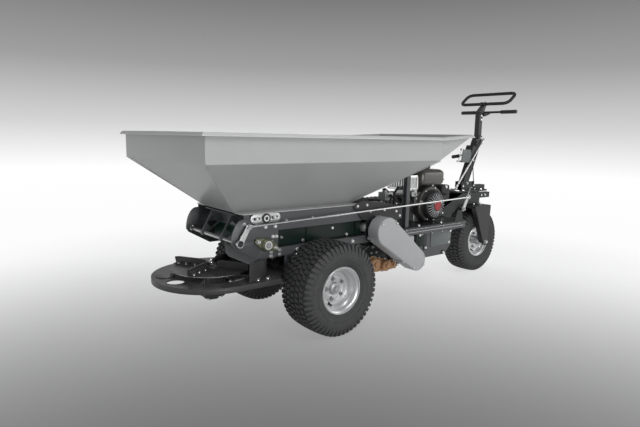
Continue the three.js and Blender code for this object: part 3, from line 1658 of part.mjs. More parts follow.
function handleLoop() {
  const slope = new THREE.Vector3(loopHighX - loopLowX, 0, loopHighZ - loopLowZ);
  const depth = slope.length();
  slope.normalize();
  const across = new THREE.Vector3(0, 1, 0);
  const normal = new THREE.Vector3().crossVectors(slope, across).normalize();
  const flat = new THREE.Shape();
  const half = loopHalfWidth;
  flat.moveTo(-half + loopCorner, 0);
  flat.lineTo(half - loopCorner, 0);
  flat.absarc(half - loopCorner, loopCorner, loopCorner, -Math.PI / 2, 0);
  flat.lineTo(half, depth - loopCorner);
  flat.absarc(half - loopCorner, depth - loopCorner, loopCorner, 0, Math.PI / 2);
  flat.lineTo(-half + loopCorner, depth);
  flat.absarc(-half + loopCorner, depth - loopCorner, loopCorner, Math.PI / 2, Math.PI);
  flat.lineTo(-half, loopCorner);
  flat.absarc(-half + loopCorner, loopCorner, loopCorner, Math.PI, 1.5 * Math.PI);
  const origin = new THREE.Vector3(loopLowX, 0, loopLowZ + seatGap);
  const apart = (point, i, all) => point.distanceTo(all[(i + 1) % all.length]) > runGap;
  const points = flat.getPoints(3).filter(apart);
  const path = points.map(({ x, y }) => origin.clone().addScaledVector(across, x).addScaledVector(slope, y));
  addPiece("handle_loop", closedTube(path, normal, loopTubeRadius, 8), gripPlastic);
}

function driveBar() {
  const arm = (y) => barBetween(
    barRadius,
    [columnTopX + stemSize / 2 + plate * 2, y, stemTopZ - plate * 3],
    [barX, y, barZ],
    10,
  );
  const rail = barAcross(
    barRadius,
    -barHalfWidth + gripLength - plate,
    barHalfWidth - gripLength + plate,
    barX,
    barZ,
    12,
  );
  const grips = [-1, 1].map((side) => barAcross(
    gripRadius,
    ...onSide(side, barHalfWidth - gripLength, barHalfWidth),
    barX,
    barZ,
    14,
  ));
  const armY = stemSize / 2 + barRadius + seatGap;
  const hinge = barAcross(
    barRadius,
    armY - barRadius,
    armY + barRadius,
    columnTopX + stemSize / 2 + plate * 2,
    stemTopZ - plate * 3,
    12,
  );
  const far = barAcross(
    barRadius,
    -armY - barRadius,
    -armY + barRadius,
    columnTopX + stemSize / 2 + plate * 2,
    stemTopZ - plate * 3,
    12,
  );
  addPiece("drive_bar", joined(rail, ...grips, arm(armY), arm(-armY), hinge, far), gripPlastic);
}

// Assembly, from the ground up
driveWheel("left_drive", -1);
driveWheel("right_drive", 1);
steeredWheel();
frameRail("left_frame_rail", -1);
frameRail("right_frame_rail", 1);
axleBracket("left_axle_bracket", -1);
axleBracket("right_axle_bracket", 1);
axleHousing();
skirtRail("left_skirt_rail", -1);
skirtRail("right_skirt_rail", 1);
headPlate("left_head_plate", -1);
headPlate("right_head_plate", 1);
tailPlate("left_tail_plate", -1);
tailPlate("right_tail_plate", 1);
headRoller();
tailRoller();
headBearing("left_head_bearing", -1);
headBearing("right_head_bearing", 1);
conveyorBelt();
outputSprocket();
chainCover();
hopper();
hopperPost("left_hopper_post", -1);
hopperPost("right_hopper_post", 1);
meteringGate();
gateRod();
gateLever();
gateLeverBracket();
spinnerDisc();
spinnerDeck();
spreaderWall();
deckHanger("left_deck_hanger", -1);
deckHanger("right_deck_hanger", 1);
spinnerGearbox();
dischargeChute();
gearbox();
enginePlatform();
bellyPan();
engineBlock();
blowerHousing();
recoilStarter();
fuelTank();
fuelCap();
muffler();
airCleaner();
steeringHead();
fork();
tillerBase();
tillerColumn();
braceRod();
shiftLever();
handleStem();
handleLoop();
driveBar();

// The frame's origin is on the ground, under the middle of the machine
const frontReach = spinnerX - deckRadius;
const rearReach = wheelbase + axleHeight;
topdresser.position.x = -Math.floor((frontReach + rearReach) / 2);

export default topdresser;
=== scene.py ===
"""A walk-behind lawn topdresser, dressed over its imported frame. Metres, +Z up, +X towards the operator."""

import math

import bmesh
import bpy
from mathutils import Matrix, Vector


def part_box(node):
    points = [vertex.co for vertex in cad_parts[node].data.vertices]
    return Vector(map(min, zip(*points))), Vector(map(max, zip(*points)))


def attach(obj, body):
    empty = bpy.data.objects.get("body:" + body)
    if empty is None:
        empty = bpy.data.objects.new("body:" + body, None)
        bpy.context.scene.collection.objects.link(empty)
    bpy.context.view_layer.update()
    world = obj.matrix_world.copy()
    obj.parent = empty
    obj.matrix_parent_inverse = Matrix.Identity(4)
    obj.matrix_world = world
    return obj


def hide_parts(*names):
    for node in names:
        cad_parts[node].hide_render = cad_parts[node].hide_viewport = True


bl_info = {"name": "Lawn Topdresser", "version": (1, 0, 0), "blender": (4, 5, 0),
    "location": "3D View > Sidebar > Topdresser",
    "description": "Builds the dressed model of a walk-behind lawn topdresser", "category": "Object"}

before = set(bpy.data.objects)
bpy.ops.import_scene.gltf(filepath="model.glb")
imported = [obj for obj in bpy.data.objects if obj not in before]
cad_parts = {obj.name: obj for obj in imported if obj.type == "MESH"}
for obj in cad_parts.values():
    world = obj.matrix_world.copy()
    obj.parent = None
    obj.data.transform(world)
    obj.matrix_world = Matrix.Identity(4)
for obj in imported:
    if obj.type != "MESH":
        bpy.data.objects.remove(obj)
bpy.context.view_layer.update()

# Lengths in the making code are millimetres: behind the drive axle (X), across (Y) and above the ground (Z)
MM = 0.001
X = Vector((1, 0, 0))
Y = Vector((0, 1, 0))
Z = Vector((0, 0, 1))
SIDES = (("left", -1), ("right", 1))


def axle_place():
    low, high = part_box("left_drive_tyre")
    return (low.x + high.x) / 2 / MM, (low.z + high.z) / 2 / MM


AXLE_X, AXLE_Z = axle_place()
TO_FRAME = Matrix.Scale(MM, 4) @ Matrix.Translation((AXLE_X, 0, 0))


def box_of(node):
    """A node's lowest and highest corners, in millimetres from the drive axle"""
    low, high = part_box(node)
    return low / MM - X * AXLE_X, high / MM - X * AXLE_X


# Settings


class TopdresserSizes(bpy.types.PropertyGroup):
    """Sizes of the dressed pieces"""

    bend_radius: bpy.props.FloatProperty(name="Sheet bend radius",
        description="Radius of the folded sheet edges", default=0.0028, unit="LENGTH")
    tread_depth: bpy.props.FloatProperty(name="Tread depth", description="Depth of the turf tyre's blocks",
        default=0.0085, unit="LENGTH")
    tread_pitches: bpy.props.IntProperty(name="Tread pitches", description="Tread blocks round one tyre",
        default=52)
    bolt_size: bpy.props.FloatProperty(name="Bolt size", description="Thread of the common frame bolts",
        default=0.010, unit="LENGTH")
    lens_pixels: bpy.props.FloatProperty(name="Focal length in pixels",
        description="Focal length on a picture 640 pixels wide", default=504.0)


class TopdresserColours(bpy.types.PropertyGroup):
    """Base colours of the finishes"""

    hopper: bpy.props.FloatVectorProperty(name="Hopper", description="Powder coat of the hopper",
        subtype="COLOR", default=(0.362, 0.364, 0.364))
    steel: bpy.props.FloatVectorProperty(name="Frame", description="Powder coat of the frame",
        subtype="COLOR", default=(0.052, 0.054, 0.058))
    guard: bpy.props.FloatVectorProperty(name="Chain cover", description="Powder coat of the cover",
        subtype="COLOR", default=(0.34, 0.35, 0.355))
    engine: bpy.props.FloatVectorProperty(name="Engine", description="Paint of the engine's covers",
        subtype="COLOR", default=(0.036, 0.035, 0.031))
    belt: bpy.props.FloatVectorProperty(name="Belt", description="Face of the conveyor belt",
        subtype="COLOR", default=(0.004, 0.024, 0.0145))
    tyre: bpy.props.FloatVectorProperty(name="Tyre", description="Rubber of the tyres", subtype="COLOR",
        default=(0.035, 0.036, 0.037))


def sizes():
    return bpy.context.scene.topdresser_sizes


def colours():
    return bpy.context.scene.topdresser_colours


# Shader maths


class Wire:
    """A socket with arithmetic: each operation adds a Math node to the same tree."""

    def __init__(self, shop, socket):
        self.shop = shop
        self.socket = socket

    def maths(self, operation, *values):
        return self.shop.node("ShaderNodeMath", {"operation": operation}, values)

    def __add__(self, other):
        return self.maths("ADD", self, other)

    __radd__ = __add__

    def __mul__(self, other):
        return self.maths("MULTIPLY", self, other)

    __rmul__ = __mul__

    def __sub__(self, other):
        return self.maths("SUBTRACT", self, other)

    def __rsub__(self, other):
        return self.maths("SUBTRACT", other, self)

    def above(self, low, high):
        """0 below low, 1 above high, and a smooth step between them"""
        values = {"Value": self, "From Min": low, "From Max": high}
        return self.shop.node("ShaderNodeMapRange", {"interpolation_type": "SMOOTHSTEP"}, values)


class Nodes:
    """Builds a node tree."""

    def __init__(self, tree):
        self.tree = tree

    def feed(self, socket, value):
        """Links a wire to a socket, or sets the socket's own value"""
        if isinstance(value, Wire):
            self.tree.links.new(value.socket, socket)
        else:
            socket.default_value = value

    def node(self, kind, settings=None, values=(), out=0):
        """Adds a node: settings first, then each socket named or counted in values. Gives one output."""
        made = self.tree.nodes.new(kind)
        for key, value in (settings or {}).items():
            setattr(made, key, value)
        for key, value in values.items() if isinstance(values, dict) else enumerate(values):
            self.feed(made.inputs[key], value)
        return Wire(self, made.outputs[out])

    def place(self):
        return self.node("ShaderNodeTexCoord", out=3)

    def noise(self, scale, detail=2.0, rough=0.5, vector=None):
        values = {"Vector": vector or self.place(), "Scale": scale, "Detail": detail, "Roughness": rough}
        return self.node("ShaderNodeTexNoise", {}, values)

    def blend(self, share, one, other):
        """A colour between two colours"""
        return self.node("ShaderNodeMix", {"data_type": "RGBA"}, {0: share, 6: one, 7: other}, out=2)

    def shades(self, share, colour, low, high):
        """A colour between two shares of one colour's brightness"""
        return self.blend(share, rgba(colour, low), rgba(colour, high))

    def upward(self):
        """How far the surface faces up, from -1 to 1"""
        normal = self.node("ShaderNodeNewGeometry", out=1)
        return self.node("ShaderNodeSeparateXYZ", {}, [normal], out=2)

    def bump(self, height, strength, distance):
        values = {"Strength": strength, "Distance": distance, "Height": height}
        return self.node("ShaderNodeBump", {}, values)


class Shop(Nodes):
    """Builds one material."""

    def __init__(self, name):
        self.material = bpy.data.materials.new(name)
        self.material.use_nodes = True
        super().__init__(self.material.node_tree)
        self.skin = self.tree.nodes["Principled BSDF"]

    def finish(self, **values):
        """Sets the surface's own sockets by name, with underscores for spaces. Gives the material."""
        for key, value in values.items():
            self.feed(self.skin.inputs[key.replace("_", " ")], value)
        return self.material


def rgba(colour, share=1.0):
    return (colour[0] * share, colour[1] * share, colour[2] * share, 1.0)


def powder_coat(name, colour, roughness, dust=0.12, coat=0.25, shine=0.5):
    """Satin powder coat: orange peel, faint mottling and a little dust on what faces up"""
    shop = Shop(name)
    peel = shop.noise(620.0, 1.0)
    cloud = shop.noise(5.5, 4.0, 0.6)
    scuff = shop.noise(38.0, 6.0, 0.72).above(0.6, 0.78)
    settled = shop.upward().above(0.35, 1.0) * shop.noise(16.0, 5.0, 0.65).above(0.4, 0.75) * dust
    tone = shop.blend(settled, shop.shades(cloud, colour, 0.93, 1.07), (0.42, 0.40, 0.36, 1.0))
    return shop.finish(Base_Color=shop.blend(scuff * 0.16, tone, rgba(colour, 1.32)),
        Roughness=roughness + scuff * 0.1 + (cloud - 0.5) * 0.1,
        Normal=shop.bump(peel + scuff * -0.4, 0.06, 0.0004),
        Coat_Weight=coat, Coat_Roughness=0.22, Specular_IOR_Level=shine)


def plated(name, colour, roughness, spangle=0.0):
    """Zinc: bright plate, or hot-dip spangle where it is asked for"""
    shop = Shop(name)
    grain = shop.noise(90.0, 5.0, 0.65)
    crystal = shop.node("ShaderNodeTexVoronoi", {}, {"Vector": shop.place(), "Scale": 75.0}, out=1)
    flake = shop.node("ShaderNodeSeparateColor", {}, [crystal])
    stain = shop.noise(22.0, 5.0, 0.7).above(0.55, 0.8)
    tone = shop.blend(flake * spangle, shop.shades(grain, colour, 0.86, 1.1), rgba(colour, 0.6))
    return shop.finish(Base_Color=shop.blend(stain * 0.3, tone, (0.34, 0.31, 0.25, 1.0)),
        Metallic=0.92 - stain * 0.25,
        Roughness=roughness + (grain - 0.5) * 0.16 + flake * spangle * 0.2 + stain * 0.15,
        Normal=shop.bump(grain, 0.12, 0.0004))


def moulded(name, colour, roughness, grain=520.0, strength=0.16):
    """Moulded plastic or rubber sleeve with a fine even grain"""
    shop = Shop(name)
    wear = shop.noise(26.0, 5.0, 0.7).above(0.52, 0.8)
    return shop.finish(Base_Color=shop.blend(wear * 0.3, rgba(colour), (0.09, 0.09, 0.088, 1.0)),
        Roughness=roughness - wear * 0.12, Normal=shop.bump(shop.noise(grain, 2.0), strength, 0.0006))


def turf_rubber(name, colour):
    """Tyre rubber: dry and dark, with pale dust in patches"""
    shop = Shop(name)
    dust = shop.noise(34.0, 6.0, 0.7).above(0.42, 0.74)
    fine = shop.noise(420.0, 3.0, 0.6)
    tone = shop.shades(shop.noise(7.0, 3.0), colour, 0.8, 1.25)
    return shop.finish(Base_Color=shop.blend(dust * 0.3, tone, (0.115, 0.11, 0.10, 1.0)),
        Roughness=0.66 + dust * 0.2 + (fine - 0.5) * 0.1, Normal=shop.bump(fine, 0.2, 0.0008))


def belt_cover(name, colour):
    """Belt cover: fine woven print, scuffed in bands along its travel"""
    shop = Shop(name)
    stretch = shop.node("ShaderNodeMapping", {}, {"Vector": shop.place(), "Scale": (1.0, 26.0, 1.0)})
    streak = shop.noise(3.0, 6.0, 0.7, stretch).above(0.45, 0.75)
    warp, weft = (shop.node("ShaderNodeTexWave", {"bands_direction": way},
        {"Vector": shop.place(), "Scale": 150.0}) for way in ("X", "Y"))
    return shop.finish(Base_Color=shop.blend(streak * 0.35, rgba(colour), (0.02, 0.05, 0.033, 1.0)),
        Roughness=0.4 + streak * 0.2, Normal=shop.bump(warp * weft, 0.25, 0.0006))


def casting(name, colour, metallic, roughness=0.5, coarse=160.0, grime=0.35):
    """Sand or die casting: pebbled skin, oily dirt in patches"""
    shop = Shop(name)
    skin = shop.noise(coarse, 5.0, 0.65)
    oil = shop.noise(24.0, 5.0, 0.7).above(0.5, 0.76)
    tone = shop.shades(skin, colour, 0.72, 1.22)
    return shop.finish(Base_Color=shop.blend(oil * grime, tone, (0.045, 0.036, 0.026, 1.0)),
        Metallic=metallic - oil * metallic * 0.4, Roughness=roughness + (skin - 0.5) * 0.25,
        Normal=shop.bump(skin, 0.35, 0.0012))


def turned_steel(name, colour, roughness):
    """Machined steel with a light brushed finish"""
    shop = Shop(name)
    brushed = shop.noise(60.0, 6.0, 0.75)
    return shop.finish(Base_Color=shop.shades(brushed, colour, 0.82, 1.12), Metallic=0.95,
        Roughness=roughness + (brushed - 0.5) * 0.2, Normal=shop.bump(brushed, 0.08, 0.0003))


def silver_rim(name, colour):
    """Silver wheel enamel over pressed steel"""
    shop = Shop(name)
    fleck = shop.noise(700.0, 1.0)
    brake = shop.noise(30.0, 5.0, 0.7).above(0.56, 0.8)
    tone = shop.shades(shop.noise(11.0, 4.0, 0.6), colour, 0.92, 1.08)
    return shop.finish(Base_Color=shop.blend(brake * 0.22, tone, (0.27, 0.25, 0.21, 1.0)), Metallic=0.62,
        Roughness=0.3 + (fleck - 0.5) * 0.1 + brake * 0.15, Normal=shop.bump(fleck, 0.05, 0.0003),
        Coat_Weight=0.4, Coat_Roughness=0.12)


FINISHES = {}


def make_finishes():
    tint = colours()
    FINISHES.update(
        hopper=powder_coat("hopper grey powder coat", tint.hopper, 0.42),
        steel=powder_coat("charcoal powder coat", tint.steel, 0.4, 0.1),
        guard=powder_coat("chain cover powder coat", tint.guard, 0.46),
        black=powder_coat("black powder coat", (0.021, 0.021, 0.0225), 0.4, 0.1, 0.1, 0.36),
        panel=powder_coat("grey green panel coat", (0.095, 0.108, 0.108), 0.42),
        deep=powder_coat("deep green black coat", (0.0095, 0.0125, 0.0118), 0.36, 0.06, 0.1, 0.34),
        bed=powder_coat("dark green bed paint", (0.0042, 0.0125, 0.0085), 0.34, 0.05, 0.1, 0.3),
        deck=powder_coat("worn black deck coat", (0.042, 0.042, 0.043), 0.44, 0.16, 0.1, 0.4),
        # A lighter copy of the hopper's powder coat: a painted highlight on the hopper's rim and along its
        # foot
        fold=powder_coat("hopper powder coat with painted highlight", (0.49, 0.492, 0.492), 0.4),
        tank=powder_coat("fuel tank paint", (0.068, 0.065, 0.056), 0.32, 0.06, 0.4),
        engine=powder_coat("engine cover paint", tint.engine, 0.34, 0.08, 0.4),
        zinc=plated("bright zinc plate", (0.74, 0.745, 0.74), 0.24),
        spangle=plated("hot dip zinc", (0.66, 0.675, 0.67), 0.34, 0.5),
        chromate=plated("olive chromate casting", (0.155, 0.16, 0.105), 0.42),
        steel_bright=turned_steel("turned steel", (0.42, 0.42, 0.43), 0.28),
        rim=silver_rim("silver rim enamel", (0.62, 0.625, 0.63)),
        tyre=turf_rubber("turf tyre rubber", tint.tyre),
        belt=belt_cover("green belt cover", tint.belt),
        bronze=casting("bronze painted casting", (0.47, 0.27, 0.14), 0.25, grime=0.6),
        alloy=casting("die cast alloy", (0.46, 0.47, 0.47), 0.75, 0.42, 220.0, 0.25),
        plastic=moulded("black moulded plastic", (0.014, 0.014, 0.015), 0.52),
        sleeve=moulded("black foam sleeve", (0.012, 0.012, 0.012), 0.72, 900.0, 0.4),
        rubber=moulded("black rubber lead", (0.018, 0.018, 0.018), 0.6, 300.0, 0.1),
        red=moulded("dull red cap", (0.30, 0.028, 0.03), 0.4, 400.0, 0.08),
        # Near black, for the flywheel fan: painted shade in the recess behind the starter's spokes
        dark=moulded("near black with painted recess shade", (0.008, 0.008, 0.008), 0.8, 200.0, 0.1),
    )


# Outlines


def polar(u, v, radius, degrees):
    turn = math.radians(degrees)
    return (u + radius * math.cos(turn), v + radius * math.sin(turn))


def circle(u, v, radius, count=40, start=0.0):
    """Places spaced evenly round a circle, the first one at start degrees"""
    return [polar(u, v, radius, start + 360 * i / count) for i in range(count)]


def arc(u, v, radius, first, last, count):
    """Points on an arc between two angles in degrees, both ends included"""
    return [polar(u, v, radius, first + (last - first) * i / count) for i in range(count + 1)]


def oblong(u0, v0, u1, v1):
    """The corners of an upright rectangle"""
    return [(u0, v0), (u1, v0), (u1, v1), (u0, v1)]


def slot_outline(u, v, length, radius, upright=False):
    """A slot with round ends, its length from end to end"""
    half = length / 2 - radius
    points = arc(half, 0, radius, -90, 90, 10) + arc(-half, 0, radius, 90, 270, 10)
    return [(u - y, v + x) if upright else (u + x, v + y) for x, y in points]


def eased(start, middle, end, steps):
    """Points on the curve that rounds a corner, from start to end"""
    shares = [i / steps for i in range(steps + 1)]
    return [start * (1 - t) ** 2 + middle * 2 * t * (1 - t) + end * t * t for t in shares]


def rounded(points, radius, count=5):
    """An outline with each corner rounded"""
    made = []
    for i, point in enumerate(points):
        here = Vector(point)
        before = Vector(points[i - 1]) - here
        after = Vector(points[(i + 1) % len(points)]) - here
        reach = min(radius, before.length * 0.45, after.length * 0.45)
        start, end = here + before.normalized() * reach, here + after.normalized() * reach
        made += [tuple(p) for p in eased(start, here, end, count)]
    return made


def both_circles(u0, v0, r0, u1, v1, r1, count=24):
    """The outline that a belt round two circles would take"""
    run = math.hypot(u1 - u0, v1 - v0)
    heading = math.degrees(math.atan2(v1 - v0, u1 - u0))
    lean = math.degrees(math.acos((r0 - r1) / run))
    first = arc(u0, v0, r0, heading + lean, heading + 360 - lean, count)
    return first + arc(u1, v1, r1, heading - lean, heading + lean, count)


def shell_of(path, thickness):
    """A closed outline with a thickness, from the line along its middle"""
    left, right = [], []
    for i, point in enumerate(path):
        way = Vector(path[min(i + 1, len(path) - 1)]) - Vector(path[max(i - 1, 0)])
        side = Vector((-way.y, way.x)).normalized() * thickness / 2
        left.append(tuple(Vector(point) + side))
        right.append(tuple(Vector(point) - side))
    return left + right[::-1]


def smooth_path(points, steps=6):
    """A path through points, rounded as a bent hose is"""
    points = [Vector(p) for p in points]
    last = len(points) - 1
    made = []
    for i in range(last):
        p0, p1, p2, p3 = points[max(i - 1, 0)], points[i], points[i + 1], points[min(i + 2, last)]
        for t in (j / steps for j in range(steps)):
            bend = (2 * p0 - 5 * p1 + 4 * p2 - p3) * t * t + (3 * p1 - p0 - 3 * p2 + p3) * t * t * t
            made.append((2 * p1 + (p2 - p0) * t + bend) / 2)
    return made + points[-1:]


def bent_path(points, radius, steps=6, closed=False):
    """A path of straight runs whose corners are bent to a radius"""
    points = [Vector(p) for p in points]
    made = []
    for i, here in enumerate(points):
        if not closed and i in (0, len(points) - 1):
            made.append(here)
            continue
        before = points[i - 1] - here
        after = (points[(i + 1) % len(points)] - here).normalized()
        reach = min(radius / math.tan(before.angle(after) / 2), before.length * 0.48)
        made += eased(here + before.normalized() * reach, here, here + after * reach, steps)
    return made


# Forms

# How far a hex head is turned about its axis, in degrees
HEX_TURN = 17.1887


def turn_to(direction):
    """A rotation that takes +Z to a direction"""
    return Vector(direction).to_track_quat("Z", "Y").to_matrix().to_4x4()


class Form:
    """A mesh put together from shells, given its finish, its edges and its body at the end."""

    def __init__(self):
        self.mesh = bmesh.new()

    def add(self, vertices, faces):
        made = [self.mesh.verts.new(v) for v in vertices]
        for face in faces:
            self.mesh.faces.new([made[i] for i in face])
        return self

    def loft(self, rings, closed=False):
        """Joins rings of points into a skin, and closes it on itself or with flat ends."""
        rings = [[self.mesh.verts.new(point) for point in ring] for ring in rings]
        for here, there in zip(rings, rings[1:] + rings[:1] if closed else rings[1:]):
            for i in range(len(here)):
                self.mesh.faces.new((here[i - 1], here[i], there[i], there[i - 1]))
        if not closed:
            self.mesh.faces.new(rings[0][::-1])
            self.mesh.faces.new(rings[-1])
        return self

    def block(self, low, high, matrix=Matrix()):
        xs, ys, zs = zip(low, high)
        corners = [(x, y, z) for x in xs for y in ys for z in zs]
        faces = [(0, 1, 3, 2), (4, 6, 7, 5), (0, 4, 5, 1), (2, 3, 7, 6), (0, 2, 6, 4), (1, 5, 7, 3)]
        return self.add([matrix @ Vector(c) for c in corners], faces)

    def lathe(self, profile, centre, axis, sides=48):
        """Turns a closed loop of (radius, along) about an axis through centre."""
        base = Matrix.Translation(centre) @ turn_to(axis)
        ways = circle(0, 0, 1, sides)
        return self.loft([[base @ Vector((u * r, v * r, a)) for r, a in profile] for u, v in ways],
            closed=True)

    def drum(self, start, end, radius, end_radius=None, sides=32):
        """A round bar between two points, closed by flat ends"""
        start, end = Vector(start), Vector(end)
        turn = turn_to(end - start)
        ways = [turn @ Vector((u, v, 0)) for u, v in circle(0, 0, 1, sides)]
        tip = radius if end_radius is None else end_radius
        return self.loft([[start + way * radius for way in ways], [end + way * tip for way in ways]])

    def tube(self, points, radius, sides=16, closed=False):
        """A round tube along a path"""
        points = [Vector(p) for p in points]
        last = len(points) - 1
        rings = []
        side = None
        for i, point in enumerate(points):
            ahead = points[(i + 1) % len(points)] if closed or i < last else point
            behind = points[i - 1] if closed or i > 0 else point
            way = (ahead - behind).normalized()
            side = side or way.orthogonal()
            side = (side - way * side.dot(way)).normalized()
            other = way.cross(side)
            rings.append([point + (side * u + other * v) * radius for u, v in circle(0, 0, 1, sides)])
        return self.loft(rings, closed)

    def plate(self, loops, across, near, far, edge=0.0):
        """Flat sheet between near and far along the axis across, from its outline and its holes' outlines.

        An outline's two numbers are the axes left over, in X, Y, Z order.
        """
        curve = bpy.data.curves.new("outline", "CURVE")
        curve.dimensions = "2D"
        curve.fill_mode = "BOTH"
        curve.extrude = abs(far - near) / 2 - edge
        curve.bevel_depth = edge
        curve.bevel_resolution = 1
        curve.offset = -edge
        for loop in loops:
            spline = curve.splines.new("POLY")
            spline.points.add(len(loop) - 1)
            for point, (u, v) in zip(spline.points, loop):
                point.co = (u, v, 0, 1)
            spline.use_cyclic_u = True
        holder = bpy.data.objects.new("outline", curve)
        data = bpy.data.meshes.new_from_object(holder)
        bpy.data.objects.remove(holder)
        bpy.data.curves.remove(curve)
        axes = {"X": (Y, Z, X), "Y": (X, Z, -Y), "Z": (X, Y, Z)}[across]
        shift = {"X": X, "Y": Y, "Z": Z}[across] * (near + far) / 2
        data.transform(Matrix.Translation(shift) @ Matrix(axes).transposed().to_4x4())
        self.mesh.from_mesh(data)
        bpy.data.meshes.remove(data)
        return self

    def bolt(self, place, axis, thread=None, head=None, washer=True):
        """A hex head on a washer, seated at place and facing along axis"""
        thread = thread or sizes().bolt_size / MM
        seat, axis = Vector(place), Vector(axis).normalized()
        across, tall = thread * 0.98, head or thread * 0.64
        if washer:
            self.drum(seat - axis * thread * 0.05, seat + axis * thread * 0.18, thread * 1.08,
                thread * 1.04, 20)
        base = Matrix.Translation(seat + axis * thread * (0.18 if washer else -0.05)) @ turn_to(axis)
        levels = ((0, across), (tall * 0.78, across), (tall, across * 0.84))
        rings = []
        for up, radius in levels:
            rings.append([base @ Vector((u, v, up)) for u, v in circle(0, 0, radius, 6, HEX_TURN)])
        return self.loft(rings)

    def nut(self, place, axis, thread=None, stud=0.6):
        """A hex nut on a washer with its stud standing through"""
        thread = thread or sizes().bolt_size / MM
        self.bolt(place, axis, thread, thread * 0.8)
        axis = Vector(axis).normalized()
        top = Vector(place) + axis * thread * 0.95
        return self.drum(top, top + axis * thread * stud, thread * 0.48, thread * 0.42, 14)

    def done(self, name, finish, node=None, slot=None, body="machine", bevel=None, smooth=38.0, weld=True):
        """Makes the piece, which takes the node's place if one is given."""
        if weld:
            bmesh.ops.remove_doubles(self.mesh, verts=self.mesh.verts, dist=0.002)
        bmesh.ops.recalc_face_normals(self.mesh, faces=self.mesh.faces)
        self.mesh.transform(TO_FRAME)
        data = bpy.data.meshes.new(name)
        self.mesh.to_mesh(data)
        self.mesh.free()
        for face in data.polygons:
            face.use_smooth = True
        data.set_sharp_from_angle(angle=math.radians(smooth))
        made = stand(name, data)
        data.materials.append(FINISHES[finish])
        if bevel:
            soften(made, bevel)
        if node:
            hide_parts(node)
        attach(made, body)
        return made


def stand(name, data):
    """Puts data in the scene as an object."""
    made = bpy.data.objects.new(name, data)
    bpy.context.scene.collection.objects.link(made)
    return made


def soften(piece, width):
    """Rounds a piece's sharp edges."""
    bevel = piece.modifiers.new("rounded edges", "BEVEL")
    bevel.width = width * MM
    bevel.segments = 2
    bevel.limit_method = "ANGLE"
    bevel.angle_limit = math.radians(32)
    bevel.harden_normals = True
    bevel.use_clamp_overlap = True
    return bevel


def dress(node, finish, width):
    """Gives a node of the frame its finish, and rounds its edges."""
    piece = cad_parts[node]
    for place in piece.material_slots:
        place.link = "OBJECT"
        place.material = FINISHES[finish]
    weld = piece.modifiers.new("one skin", "WELD")
    weld.merge_threshold = 2e-5
    flat = piece.modifiers.new("flat faces", "DECIMATE")
    flat.decimate_type = "DISSOLVE"
    flat.angle_limit = math.radians(1.0)
    soften(piece, width).harden_normals = False


def on_face(y, places):
    """Seats on an upright face across the machine, from their (x, z) places"""
    return [(x, y, z) for x, z in places]


def bolt_set(name, *rows, body="machine"):
    """Zinc plated bolts as one piece, in rows of (axis, thread, seats)"""
    form = Form()
    for axis, thread, seats in rows:
        for seat in seats:
            form.bolt(seat, axis, thread)
    form.done(name, "zinc", body=body)


# Wheels

TYRE_RADIUS = 229.5
LUG_CIRCLE = 52
DRIVE_WHEEL_Y, DRIVE_WEB = 345, 26
WHEEL_X = 1641


def crown_radius(across, half):
    return TYRE_RADIUS - 7.5 * abs(across / half) ** 2.6


def turf_tyre(name, body, centre, width, rim_width):
    """A turf tyre: carcass with moulded rings, rows of staggered blocks and shoulder lugs like a comb"""
    depth = sizes().tread_depth / MM
    pitches = sizes().tread_pitches
    half, bead = width / 2, rim_width / 2
    wall = [(103, bead - 12), (109, bead - 4), (118.5, bead - 1), (122, bead + 3), (127, bead + 5.5),
        (131, bead + (half - bead) * 0.36), (133, bead + (half - bead) * 0.55),
        (140, bead + (half - bead) * 0.66)]
    wall += [(149, half - 3.4), (150, half - 1.6), (154, half - 1.4), (155, half - 2.4), (164, half - 0.8)]
    wall += [(172, half - 0.4), (181, half - 1.6), (182, half - 0.4), (186, half - 0.8), (187, half - 2.6)]
    wall += [(194, half - 5.4), (203, half - 10.5), (211, half - 17)]
    steps = 14
    edge = half - 22
    crown = [edge - 2 * edge * i / steps for i in range(steps + 1)]
    outside = wall + [(crown_radius(a, half) - depth, a) for a in crown] + [(r, -a) for r, a in wall[::-1]]
    inside = [(103, -bead * 0.8), (180, -half * 0.6), (190, 0), (180, half * 0.6), (103, bead * 0.8)]
    form = Form().lathe(outside + inside, centre, Y, 96)

    def lug(points, pitch, length, slant=0.0):
        """One block over a section of (crest radius, foot radius, across), its length round the tyre"""
        draft = 1.0
        rings = []
        for crest, foot, across in points:
            ring = []
            for end, grow, radius in ((-1, draft, foot), (-1, 0, crest), (1, 0, crest), (1, draft, foot)):
                run = end * (length / 2 + grow) + slant * across
                turn = math.tau * pitch / pitches + run / TYRE_RADIUS
                ring.append(centre + Vector((radius * math.cos(turn), across, radius * math.sin(turn))))
            rings.append(ring)
        form.loft(rings)

    rows = max(1, round((edge - 14) * 2 / 31))
    gap = (edge - 6) * 2 / rows
    block_half = gap / 2 - 4.2
    for i in range(pitches):
        for row in range(rows):
            middle = (row - (rows - 1) / 2) * gap
            lean = 0.22 if middle > 1 else -0.22 if middle < -1 else 0.0
            across = [middle + share * block_half for share in (-1, 0, 1)]
            crests = [crown_radius(a, half) for a in across]
            lug([(r, r - depth - 1.5, a) for r, a in zip(crests, across)], i + row % 2 / 2, 16.5, lean)
        for side in (-1, 1):
            shoulder = [(crown_radius(edge - 3, half), 210, edge - 3),
                (crown_radius(edge + 5, half), 206, edge + 5)]
            shoulder += [(217, 203, half - 12), (207, 196, half - 6), (196, 188, half - 2.6),
                (189, 184, half - 1.8)]
            ribs = [(crest, foot, side * a) for crest, foot, a in shoulder]
            lug(ribs, i + (0.25 if side > 0 else 0.75), 15.5)
    form.done(name + "_turf_tyre", "tyre", name + "_tyre", "turf_tyre", body, smooth=30, weld=False)


